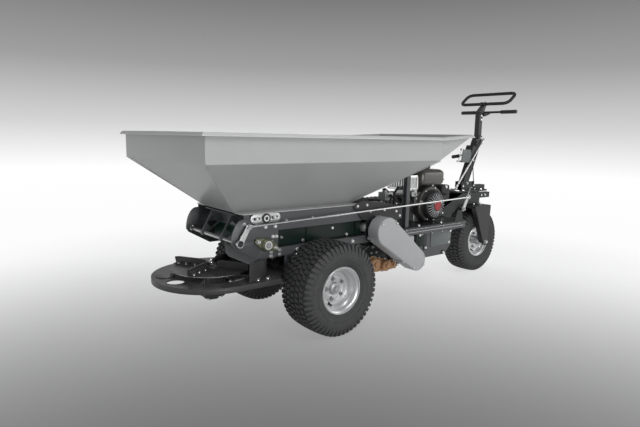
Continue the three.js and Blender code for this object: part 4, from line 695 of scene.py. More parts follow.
def pressed_rim(name, body, centre, side, width, web, hole):
    """A drop-centre rim: rolled flanges, bead seats and a well, with a pressed disc welded in"""
    e = width / 2
    well = 88
    half_path = [(110.5, e + 2.6), (114.5, e + 2.8), (116.4, e + 0.6), (115.6, e - 2.6), (110, e - 5)]
    half_path += [(104, e - 7.5), (100.6, e - 12), (100.2, e - 25), (97.5, e - 29), (90.5, e - 35),
        (well, e - 41)]
    path = half_path + [(r, -a) for r, a in half_path[::-1]]
    form = Form().lathe(shell_of(path, 3.2), centre, Y * side, 96)
    disc = [(well - 1.2, web - 9), (well - 2, web + 3), (well - 6, web + 4.6), (74, web + 1.4),
        (67, web + 1.6)]
    disc += [(62, web + 5.6), (43, web + 5.6), (38, web + 3), (hole, web + 3)]
    form.lathe(shell_of(disc, 4.0), centre, Y * side, 96)
    form.lathe([(well - 3.4, web - 4), (well + 0.5, web - 8), (well + 0.5, web - 4)], centre, Y * side, 64)
    form.done(name + "_pressed_rim", "rim", name + "_rim", "zinc", body, smooth=40)


def wheel_face(name, body, centre, side):
    """Lug nuts and the valve on a wheel's disc"""
    form = Form()
    for u, v in circle(0, 0, LUG_CIRCLE, 5, 104):
        form.nut(centre + Vector((u, 0, v)), Y * side, 10, 0.7)
    form.done(name + "_lug_nuts", "steel_bright", body=body)
    valve = Form()
    u, v = polar(0, 0, 78, 248)
    foot = centre + Vector((u, -side * 4, v))
    out = Vector((u, 0, v)).normalized() * 5 + Y * side * 24
    valve.drum(foot - out * 0.2, foot + out * 0.3, 7.5, 5.5, 20)
    valve.drum(foot + out * 0.28, foot + out * 0.72, 4.4, 3.8, 20)
    valve.drum(foot + out * 0.7, foot + out, 3.9, 3.7, 12)
    valve.done(name + "_valve", "rubber", body=body)


def wheel(name, body, centre, side, width, rim_width, web, hole):
    turf_tyre(name, body, centre, width, rim_width)
    pressed_rim(name, body, centre, side, rim_width, web, hole)
    wheel_face(name, body, centre + Y * side * (web + 7.4), side)


class TOPDRESSER_OT_drive_wheels(bpy.types.Operator):
    """Make the two drive wheels with their turf tyres, rims and hubs"""

    bl_idname = "topdresser.drive_wheels"
    bl_label = "Drive wheels"

    def execute(self, context):
        for name, side in SIDES:
            centre = Vector((0, side * DRIVE_WHEEL_Y, AXLE_Z))
            wheel(name + "_drive", name + "_wheel", centre, side, 216, 178, DRIVE_WEB, 31)
            self.hub(name, side, centre + Y * side * DRIVE_WEB)
        return {"FINISHED"}

    def hub(self, name, side, centre):
        profile = [(0, 29), (8, 28.6), (9.5, 27), (9.5, 21.5), (21, 21.5), (26, 19.5), (29.6, 14),
            (29.6, -2)]
        profile += [(58, -2), (65, -3.4), (66, -5), (66, -9), (64, -10.4), (36, -11), (30, -14), (28, -22)]
        profile += [(15.4, -26), (15, -290), (0, -290)]
        form = Form().lathe(profile, centre, Y * side, 64)
        form.bolt(centre + Y * side * 21.5, Y * side, 15, 9)
        for u, v in circle(0, 0, LUG_CIRCLE, 5, 104):
            form.drum(centre + Vector((u, -side * 10, v)), centre + Vector((u, -side * 15, v)), 8, 7.4, 20)
        form.done(name + "_drive_wheel_hub", "alloy", name + "_drive_hub", "zinc", name + "_wheel")


class TOPDRESSER_OT_steered_wheel(bpy.types.Operator):
    """Make the steered wheel at the back with its tyre, rim and sleeve"""

    bl_idname = "topdresser.steered_wheel"
    bl_label = "Steered wheel"

    def execute(self, context):
        centre = Vector((WHEEL_X, 0, AXLE_Z))
        wheel("steered", "steered_wheel", centre, -1, 165, 137, 28.5, 24)
        form = Form()
        for side in (-1, 1):
            profile = [(11.2, 0), (11.2, 94), (22, 94), (24.5, 92), (24.5, 84), (29, 80), (29.5, 0)]
            form.lathe(profile, centre, Y * side)
        form.done("steered_wheel_sleeve", "alloy", slot="zinc", body="steered_wheel", weld=False)
        return {"FINISHED"}


# Hopper

# Hopper sizes in mm: its corners along X, its half widths, and the heights of its folds
FRONT, BAND_REAR, REAR = -705, 674, 1035
HALF, REAR_HALF = 449, 375
FOOT_FRONT, FOOT_REAR, FOOT_HALF = -420, 287, 152
HOPPER_FOOT = 600.8
BAND_FOOT = HOPPER_FOOT + 240
RIM_TOP = BAND_FOOT + 124
RIM_FOOT = RIM_TOP - 17
REAR_RISE = 20
SHEET = 3
PLAN = [(FRONT, -HALF), (BAND_REAR, -HALF), (REAR, -REAR_HALF), (REAR, REAR_HALF), (BAND_REAR, HALF),
    (FRONT, HALF)]


def sweep_round(section):
    """Rings of a section of (outward, height) round the hopper's plan, with mitred corners"""
    rings = []
    for i, point in enumerate(PLAN):
        here = Vector(point)
        before = (here - Vector(PLAN[i - 1])).normalized()
        after = (Vector(PLAN[(i + 1) % len(PLAN)]) - here).normalized()
        out0, out1 = Vector((before.y, -before.x)), Vector((after.y, -after.x))
        mitre = (out0 + out1) / (1 + out0.dot(out1))
        rise = REAR_RISE * max(0, here.x - BAND_REAR) / (REAR - BAND_REAR)
        rings.append([(*(here + mitre * out), z + rise) for out, z in section])
    return rings


class TOPDRESSER_OT_hopper(bpy.types.Operator):
    """Make the hopper: folded walls, the folded rim, the corner welds and the foot flanges, with a painted
    highlight on the rim and the flanges
    """

    bl_idname = "topdresser.hopper"
    bl_label = "Hopper"

    def execute(self, context):
        self.walls()
        self.rim()
        self.welds()
        self.flanges()
        return {"FINISHED"}

    def walls(self):
        lip = RIM_FOOT + REAR_RISE
        top = RIM_TOP - SHEET
        places = [(x, y, HOPPER_FOOT) for x, y in oblong(FOOT_FRONT, -FOOT_HALF, FOOT_REAR, FOOT_HALF)]
        places += [(x, y, BAND_FOOT) for x, y in oblong(FRONT, -HALF, BAND_REAR, HALF)]
        places += [(REAR, -REAR_HALF, lip), (REAR, REAR_HALF, lip)]
        places += [(x, y, top + (REAR_RISE if x == REAR else 0)) for x, y in PLAN]
        funnel = [(0, 1, 5, 4), (1, 2, 6, 5), (2, 3, 7, 6), (3, 0, 4, 7), (5, 6, 9, 8)]
        band = [(4, 5, 11, 10), (5, 8, 12, 11), (8, 9, 13, 12), (9, 6, 14, 13), (6, 7, 15, 14),
            (7, 4, 10, 15)]
        form = Form().add(places, funnel + band)
        mesh = form.mesh
        bmesh.ops.recalc_face_normals(mesh, faces=mesh.faces)
        bends = [e for e in mesh.edges if len(e.link_faces) == 2]
        radius = sizes().bend_radius / MM
        bmesh.ops.bevel(mesh, geom=bends, offset=radius, segments=3, profile=0.5, affect="EDGES")
        made = form.done("hopper_walls", "hopper", "hopper", "hopper_paint", smooth=50)
        # The sheet's open edges stay sharp, so that they don't shade the flat sides
        uses = [0] * len(made.data.edges)
        for loop in made.data.loops:
            uses[loop.edge_index] += 1
        for edge in made.data.edges:
            if uses[edge.index] == 1:
                edge.use_edge_sharp = True
        sheet = made.modifiers.new("sheet thickness", "SOLIDIFY")
        sheet.thickness = SHEET * MM
        sheet.offset = -1
        level = made.modifiers.new("flat sides", "WEIGHTED_NORMAL")
        level.keep_sharp = True

    def rim(self):
        section = [(-2.5, RIM_TOP - SHEET), (-2.5, RIM_TOP), (7, RIM_TOP), (13, RIM_TOP - 2),
            (21.5, RIM_TOP - 13)]
        section += [(21.5, RIM_FOOT), (2, RIM_FOOT), (2, RIM_FOOT + 2.5), (18.5, RIM_FOOT + 2.5)]
        section += [(18.5, RIM_TOP - 13), (11, RIM_TOP - 4.5), (6, RIM_TOP - SHEET)]
        form = Form().loft(sweep_round(section), closed=True)
        # The rim is the hopper's own paint, made lighter as a painted highlight
        form.done("hopper_rim_fold", "fold", slot="hopper_paint", bevel=0.8)

    def welds(self):
        """Weld beads down the four funnel corners"""
        form = Form()
        for foot_x, band_x in ((FOOT_FRONT, FRONT), (FOOT_REAR, BAND_REAR)):
            for side in (-1, 1):
                low = Vector((foot_x, side * FOOT_HALF, HOPPER_FOOT + 2))
                way = Vector((band_x, side * HALF, BAND_FOOT - 2)) - low
                count = int(way.length / 5)
                form.tube([low + way * i / count + Z * -1.2 for i in range(count + 1)], 2.2, 8)
        form.done("hopper_weld_beads", "hopper", slot="hopper_paint")

    def flanges(self):
        form = Form()
        for side in (-1, 1):
            inner, outer = side * (FOOT_HALF + 1), side * 237
            low = (FOOT_FRONT - 4, inner, HOPPER_FOOT + 0.2)
            form.block(low, (FOOT_REAR + 8, outer, HOPPER_FOOT + 3.4))
        # The flanges take the lighter hopper coat, a painted highlight along the hopper's foot
        form.done("hopper_foot_flanges", "fold", slot="hopper_paint", bevel=0.6)


# Frame and conveyor

RAIL_FOOT = 389.5
ROLLER_Z = 454.5
HEAD_X, TAIL_X = -304, 410
SKIRT_TOP = 600.5
GATE_X, GATE_Z = -452, 476
# The outer faces of the skirts and rails, and of the end plates on them, from the middle of the machine
SKIRT_FACE, PLATE_FACE = 235.2, 240.4
SHAFT_Z = 248
OUTPUT_X, OUTPUT_Z = 665, 265
CHAIN_FACES = (-299.5, -292.5)


class TOPDRESSER_OT_frame(bpy.types.Operator):
    """Finish the frame rails, brackets and posts, and make the drive axle"""

    bl_idname = "topdresser.frame"
    bl_label = "Frame"

    def execute(self, context):
        for name, side in SIDES:
            for part in ("_frame_rail", "_axle_bracket", "_deck_hanger"):
                dress(name + part, "steel", 1.6)
            dress(name + "_skirt_rail", "steel", 1.2)
            dress(name + "_hopper_post", "steel", 3.0)
            bolt_set(name + "_frame_bolts", (Y * side, 10, on_face(side * 213.2, ((-40, 372), (40, 372)))),
                (Y * side, 8, on_face(side * 235.0, [(x, 558) for x in (-188, -30, 130, 300)])),
                (Y * side, 10, on_face(side * 235.0, [(x, 409.5) for x in (-120, 60, 240, 520)])))
        self.axle()
        return {"FINISHED"}

    def axle(self):
        half = [(16, 217.5), (24, 217.5), (27.5, 215), (27.5, 118), (34, 112), (50, 100), (58, 92),
            (58, 84)]
        half += [(74, 82), (80, 76), (81.5, 60), (81.5, 9), (76, 7.5), (76, 0)]
        form = Form().lathe(half + [(r, -a) for r, a in half[::-1]], (0, 0, AXLE_Z), Y, 56)
        form.drum((60, 0, SHAFT_Z), (92, 0, SHAFT_Z), 38, 30, 40)
        form.drum((90, 0, SHAFT_Z), (418, 0, SHAFT_Z), 23.6, sides=40)
        form.lathe([(0, 0), (40, 0), (41, 2), (41, 11), (23, 14), (0, 14)], (415, 0, SHAFT_Z), X, 40)
        for side in (-1, 1):
            for x, z in circle(0, AXLE_Z, 67, 8, 22.5):
                form.bolt((x, side * 82.5, z), Y * side, 8)
        for y, z in circle(0, SHAFT_Z, 33, 6, 30):
            form.bolt((428.5, y, z), X, 7)
        form.drum((-62, 0, AXLE_Z + 44), (-74, 0, AXLE_Z + 52), 9, sides=6)
        form.done("drive_axle_casing", "black", "axle_housing", "black_paint", weld=False)


class TOPDRESSER_OT_conveyor(bpy.types.Operator):
    """Make the belt, its rollers, the end plates, bearings and belt tensioners"""

    bl_idname = "topdresser.conveyor"
    bl_label = "Conveyor"

    def execute(self, context):
        self.belt()
        self.rollers()
        for name, side in SIDES:
            self.bed_side(name, side)
            self.head_plate(name, side)
            self.tensioner(name, side)
            self.plate_bolts(name, side)
            self.head_bearing(name, side)
            self.tail_plate(name, side)
        return {"FINISHED"}

    def belt(self):
        outer, inner, half = 53.6, 51.2, 178
        runs = []
        for radius in (outer, inner):
            nose = arc(HEAD_X, ROLLER_Z, radius, 90, 270, 36)
            tail = arc(TAIL_X, ROLLER_Z, radius, -90, 90, 36)
            run = [HEAD_X + (TAIL_X - HEAD_X) * i / 12 for i in range(1, 12)]
            under = [(x, ROLLER_Z - radius) for x in run]
            runs.append(nose + under + tail + [(x, ROLLER_Z + radius) for x in run[::-1]])
        rings = [[(*a, -half), (*a, half), (*b, half), (*b, -half)] for a, b in zip(*runs)]
        form = Form().loft([[(x, y, z) for x, z, y in ring] for ring in rings], closed=True)
        form.done("belt_loop", "belt", "conveyor_belt", "belt")
        lace = Form()
        count = 34
        for i in range(count):
            x, y, z = HEAD_X + 96, -170 + 340 * i / (count - 1), ROLLER_Z + outer
            lace.block((x - 11, y - 2.6, z - 0.4), (x + 11, y + 2.6, z + 1.0))
        lace.done("belt_lacing", "zinc", bevel=0.5)

    def bed_side(self, name, side):
        """The dark sheet that closes the belt bed between the frame rail and the skirt, with its end cap"""
        far, foot, top = side * 198.4, 431, 513
        form = Form().plate([oblong(-232, foot, 336, top)], "Y", side * 196, far, 0.5)
        for x in (-40, 290):
            form.block((x - 2, far, foot), (x + 2, side * 203, top))
        form.done(name + "_belt_bed_side", "bed", weld=False)
        seats = on_face(side * 198.5, ((-190, 470), (-60, 442), (129, 486), (230, 442)))
        bolt_set(name + "_belt_bed_bolts", (Y * side, 8, seats))
        profile = [(0, 196), (24, 196), (24, 226), (22, 229), (15, 230), (15, 227), (0, 227)]
        cap = Form().lathe(profile, (350, 0, 470), Y * side, 36)
        cap.bolt((350, side * 227, 470), Y * side, 10)
        cap.done(name + "_bed_end_cap", "alloy", weld=False)

    def rollers(self):
        def drum(x, near, far):
            profile = [(0, -near), (11.5, -near), (12.5, -near + 1.5), (12.5, -183), (46, -183), (46, -180)]
            profile += [(49.2, -180), (49.8, -178), (50, 0), (49.8, 178), (49.2, 180), (46, 180), (46, 183)]
            profile += [(12.5, 183), (12.5, far - 1.5), (11.5, far), (0, far)]
            return Form().lathe(profile, (x, 0, ROLLER_Z), Y, 56)

        drum(HEAD_X, 266, 266).done("head_roller_drum", "steel_bright", "head_roller", "zinc",
            "front_roller")
        rear = drum(TAIL_X, 303, 253)
        self.sprocket(rear, TAIL_X, ROLLER_Z, 14, 12, 27)
        rear.done("tail_roller_drum", "steel_bright", "tail_roller", "zinc", "rear_roller")
        shaft = [(0, -183), (11.8, -183), (11.8, -1), (0, -1)]
        drive = Form().lathe(shaft, (OUTPUT_X, -120, OUTPUT_Z), Y, 32)
        self.sprocket(drive, OUTPUT_X, OUTPUT_Z, 10, 11, 24)
        drive.done("drive_sprocket_wheel", "steel_bright", "output_sprocket", "zinc", "drive_sprocket")

    def sprocket(self, form, x, z, teeth, bore, boss):
        """Adds a sprocket in the chain's plane, with its boss."""
        step = 360 / teeth
        pitch_radius = 12.7 / math.sin(math.pi / teeth)
        tip, flank = pitch_radius + 6, pitch_radius - 4
        tooth = ((-0.5, pitch_radius - 7.6), (-0.3, flank), (-0.1, tip), (0.1, tip), (0.3, flank))
        outline = [polar(x, z, radius, (i + share) * step) for i in range(teeth) for share, radius in tooth]
        form.plate([outline], "Y", *CHAIN_FACES, 0.6)
        form.lathe([(bore, -14), (boss, -14), (boss, 6), (bore, 6)], (x, -296, z), Y, 36)

    def head_plate(self, name, side):
        """The end plate: curved nose, bearing slot and gate shaft hole"""
        top = SKIRT_TOP - 18
        rear, nose, reach = -236, -424, 60
        outline = [(rear, RAIL_FOOT), (rear, top), (nose, top)]
        for a in range(7, 91, 7):
            u, v = polar(0, 0, 1, a)
            outline.append((nose - reach * v, GATE_Z + (top - GATE_Z) * u))
        outline += [(nose - reach, 474), (-471.5, 456), (-354, RAIL_FOOT)]
        holes = [slot_outline(HEAD_X, ROLLER_Z, 62, 14.5), circle(GATE_X, GATE_Z, 12, 28)]
        form = Form().plate([outline, *holes], "Y", side * 235.3, side * 240.3, 0.7)
        form.done(name + "_end_plate", "steel", name + "_head_plate", "frame_paint", smooth=30)

    def tensioner(self, name, side):
        """The galvanised slotted plate that holds the belt's tension, with its round hub"""
        x, z, face, reach = -308, 580, side * 244.6, 48
        cuts = [slot_outline(x + end, z, 36, 6) for end in (-reach, reach)]
        plate = Form().plate([slot_outline(x, z, 160, 21.5), *cuts], "Y", side * PLATE_FACE, face, 0.5)
        plate.done(name + "_tensioner_plate", "spangle", smooth=30)
        black = Form().lathe([(15, 0), (22, 0), (22, 7), (19.5, 9), (15, 9)], (x, face, z), Y * side, 40)
        black.lathe([(0, 0), (8, 0), (8, 6), (0, 6)], (x, face, z), Y * side, 24)
        black.done(name + "_tensioner_hub", "black")
        silver = Form().lathe([(8.4, 0), (14.6, 0), (14.6, 8), (8.4, 8)], (x, face, z), Y * side, 40)
        for end in (-reach, reach):
            silver.bolt((x + end, face, z), Y * side, 8)
        silver.done(name + "_tensioner_bolts", "zinc", weld=False)

    def plate_bolts(self, name, side):
        seats = ((-309, 539), (-255, 537), (-268, 490), (-248, 489), (-276, 417), (-276, 397), (-420, 560))
        seats = on_face(side * PLATE_FACE, seats) + on_face(side * SKIRT_FACE, ((-224, 418), (-224, 397)))
        bolt_set(name + "_end_plate_bolts", (Y * side, 9, seats))

    def head_bearing(self, name, side):
        """A two-bolt flange bearing with its insert and collar"""
        face, lean, reach = side * 240.7, -22, 52
        ends = circle(HEAD_X, ROLLER_Z, reach, 2, lean)
        centre = (HEAD_X, face, ROLLER_Z)
        form = Form()
        for u, v in ends:
            ear = both_circles(u, v, 15.5, HEAD_X, ROLLER_Z, 31, 14)
            form.plate([ear], "Y", face, face + side * 9, 1.6)
        profile = [(13.8, 0), (13.8, 19), (17.5, 19), (17.5, 15), (25, 15.5), (29.5, 12), (31, 7), (31, 0)]
        form.lathe(profile, centre, Y * side)
        form.done(name + "_flange_bearing", "chromate", name + "_head_bearing", "cast_alloy", weld=False)
        rest = Form()
        for u, v in ends:
            rest.nut((u, face + side * 9.2, v), Y * side, 10)
        rest.lathe([(13.6, 15), (13.6, 24), (20.5, 24), (21, 22), (21, 15)], centre, Y * side, 40)
        grease = Vector(centre) + Vector((24, side * 6, 17))
        rest.drum(grease, grease + Vector((4, side * 9, 3)), 2.6, 2.0, 12)
        rest.done(name + "_bearing_collar", "zinc", weld=False)

    def tail_plate(self, name, side):
        outline = rounded(oblong(340, 397.5, 480, 582.5), 12)
        hole = circle(TAIL_X, ROLLER_Z, 14, 28)
        form = Form().plate([outline, hole], "Y", side * 235.3, side * 240.3, 0.7)
        form.done(name + "_tail_end_plate", "deep", name + "_tail_plate", "frame_paint", weld=False)
        profile = [(13.6, 0), (13.6, 12.6), (22, 12.6), (25, 10), (25.2, 0)]
        hub = Form().lathe(profile, (TAIL_X, side * PLATE_FACE, ROLLER_Z), Y * side, 44)
        hub.done(name + "_tail_bearing", "chromate", slot="cast_alloy", weld=False)
        seats = on_face(side * PLATE_FACE, oblong(356, 414, 464, 562))
        bolt_set(name + "_tail_plate_bolts", (Y * side, 9, seats))


# Chain drive


class TOPDRESSER_OT_chain_cover(bpy.types.Operator):
    """Make the pressed cover over the belt's chain drive"""

    bl_idname = "topdresser.chain_cover"
    bl_label = "Chain cover"

    def execute(self, context):
        form = Form()
        self.pan(form, both_circles(TAIL_X, ROLLER_Z, 80, OUTPUT_X, OUTPUT_Z, 61, 28), -340, 9)
        self.pan(form, rounded(oblong(533, 265, 621, 413.5), 8), -338.5, 8)
        form.done("chain_cover_pan", "guard", "chain_cover", "cover_paint", smooth=50, weld=False)
        stays = Form()
        stays.block((395, -267, 531.5), (425, -240.6, 534.5))
        stays.block((569, -267, 410.5), (599, -235.3, 413.5))
        stays.block((395, -243.6, 505), (425, -240.6, 534.5))
        stays.done("chain_cover_stays", "guard", bevel=1.0)
        rim = on_face(-340.2, ((360, 505), (470, 500), (622, 228), (706, 236)))
        bolt_set("chain_cover_bolts", (-Y, 8, [(410, -243.8, 519), (584, -SKIRT_FACE, 388)]), (-Y, 7, rim))
        return {"FINISHED"}

    def pan(self, form, outline, face, radius):
        """Adds a deep-drawn pan: flat face, rounded draw radius and straight wall with thickness."""
        rim, sheet, steps = -262, 3, 6
        outline = [Vector(p) for p in outline]
        centre = sum(outline, Vector((0, 0))) / len(outline)
        normals = []
        for i, point in enumerate(outline):
            before = (point - outline[i - 1]).normalized()
            way = before + (outline[(i + 1) % len(outline)] - point).normalized()
            normals.append(Vector((way.y, -way.x)).normalized())
        if normals[0].dot(outline[0] - centre) < 0:
            normals = [-n for n in normals]
        outside, inside = [(0, rim), (0, face + radius)], [(-sheet, rim), (-sheet, face + radius)]
        for i in range(1, steps + 1):
            u, v = polar(0, 0, 1, 90 * i / steps)
            outside.append((radius * (u - 1), face + radius * (1 - v)))
            inside.append(((radius - sheet) * u - radius, face + radius - (radius - sheet) * v))
        rings = []
        for out, y in inside[::-1] + outside:
            rings.append([(p.x + n.x * out, y, p.y + n.y * out) for p, n in zip(outline, normals)])
        form.loft(rings)


# Metering gate

CRANK_REACH, CRANK_ANGLE = 87, 60
LEVER_X, LEVER_Z = 1166.5, 516.7
ROD_Y = -269.6
CRANK_FACES = (-264, -256)


def rod_end(form, place, direction, length=34, bore=6.2):
    """Adds a threaded rod end: an eye across the rod's direction, a shank and a lock nut."""
    eye, half = 11.5, 4.5
    profile = [(bore, -half), (bore, half), (eye - 1, half), (eye, half - 1.4), (eye, 1.4 - half),
        (eye - 1, -half)]
    form.lathe(profile, place, Y, 32)
    way = Vector(direction).normalized()
    start = Vector(place) + way * (eye - 2)
    lock = start + way * (length - eye)
    form.drum(start, lock, 6.4, 5.8, 20)
    form.drum(lock, lock + way * 6, 8.2, sides=6)


class TOPDRESSER_OT_metering_gate(bpy.types.Operator):
    """Make the metering gate, its crank, the long rod and the setting lever"""

    bl_idname = "topdresser.metering_gate"
    bl_label = "Metering gate"

    def execute(self, context):
        self.gate()
        self.shaft()
        self.rod()
        self.lever()
        return {"FINISHED"}

    def gate(self):
        skin = arc(GATE_X, GATE_Z, 121, 21, 74, 20) + arc(GATE_X, GATE_Z, 118, 74, 21, 20)
        form = Form().plate([skin], "Y", -146, 146, 0.4)
        form.block((-340, -146, 512), (-335, 146, 516))
        form.done("gate_skin", "panel", "metering_gate", "zinc", "gate", smooth=35, weld=False)
        arms = Form()
        for y in (-98, 98):
            arm = arc(GATE_X, GATE_Z, 118.5, 27, 62, 5) + [polar(GATE_X, GATE_Z, 118.5, 68)]
            arm += [polar(GATE_X, GATE_Z, 14, a) for a in (150, 200, 291)]
            light = [polar(GATE_X, GATE_Z, r, a) for r, a in ((46, 22), (94, 32), (94, 60), (46, 72))]
            arms.plate([arm, rounded(light, 9)], "Y", y - 3, y + 3, 0.6)
            arms.lathe([(10.2, -9), (16, -9), (16, 9), (10.2, 9)], (GATE_X, y, GATE_Z), Y, 32)
        arms.done("gate_arms", "panel", body="gate", weld=False)

    def shaft(self):
        end_x, end_z = polar(GATE_X, GATE_Z, CRANK_REACH, CRANK_ANGLE)
        profile = [(0, -264), (9, -264), (10, -263), (10, 255), (9, 256), (0, 256)]
        shaft = Form().lathe(profile, (GATE_X, 0, GATE_Z), Y, 32)
        shaft.lathe([(0, -276), (4.6, -276), (4.9, -275), (4.9, -260), (0, -260)], (end_x, 0, end_z), Y, 24)
        shaft.lathe([(5, -1.5), (8.6, -1.5), (8.6, 0), (5, 0)], (end_x, -275, end_z), Y, 24)
        shaft.done("gate_shaft", "steel_bright", body="gate", weld=False)
        arm = both_circles(GATE_X, GATE_Z, 14, end_x, end_z, 11, 20)
        crank = Form().plate([arm], "Y", *CRANK_FACES, 1.0)
        profile = [(10.2, -13), (16.5, -13), (17.5, -11.5), (17.5, 0), (10.2, 0)]
        crank.lathe(profile, (GATE_X, -251, GATE_Z), Y, 36)
        crank.done("gate_crank", "spangle", body="gate", weld=False)
        caps = Form()
        for foot in (-262, 254):
            caps.drum((GATE_X, foot, GATE_Z), (GATE_X, foot + (7 if foot > 0 else -7), GATE_Z), 12.5, 11.5)
        caps.done("gate_shaft_caps", "plastic", body="gate", bevel=1.2)

    def rod(self):
        ends = []
        for x, z in ((GATE_X, GATE_Z), (LEVER_X, LEVER_Z)):
            u, v = polar(x, z, CRANK_REACH, CRANK_ANGLE)
            ends.append(Vector((u, ROD_Y, v)))
        way = (ends[1] - ends[0]).normalized()
        form = Form()
        rod_end(form, ends[0], way)
        rod_end(form, ends[1], -way)
        form.drum(ends[0] + way * 26, ends[1] - way * 26, 5, sides=24)
        form.done("gate_link_rod", "zinc", "gate_rod", "zinc", "gate_link", weld=False)

    def lever(self):
        tip_x, tip_z = polar(LEVER_X, LEVER_Z, 149, CRANK_ANGLE)
        arm = both_circles(LEVER_X, LEVER_Z, 14, tip_x, tip_z, 9.2, 20)
        form = Form().plate([arm, circle(LEVER_X, LEVER_Z, 11, 24)], "Y", -264.3, -256.3, 1.0)
        end_x, end_z = polar(LEVER_X, LEVER_Z, CRANK_REACH, CRANK_ANGLE)
        form.lathe([(0, -275.5), (4.8, -275.5), (4.8, -262), (0, -262)], (end_x, 0, end_z), Y, 24)
        form.done("gate_setting_lever", "spangle", "gate_lever", "zinc", "gate_control", weld=False)
        (x0, z0), (x1, z1) = (polar(LEVER_X, LEVER_Z, reach, CRANK_ANGLE) for reach in (104, 152))
        grip = Form().drum((x0, -260.3, z0), (x1, -260.3, z1), 8.0, 9.5, 28)
        grip.done("gate_lever_grip", "plastic", body="gate_control", bevel=2.4)
        dress("gate_lever_bracket", "deep", 1.2)
        pivot = Form().nut((LEVER_X, -264.9, LEVER_Z), -Y, 9)
        pivot.done("gate_lever_pivot_nut", "zinc")


# Spreader

SPIN_X = -464
DISC_TOP = 322
BOX_SHAFT_Z = 233.7
DECK_STEP = -240
LIP_FOOT, LIP_TOP = 266.4, 291


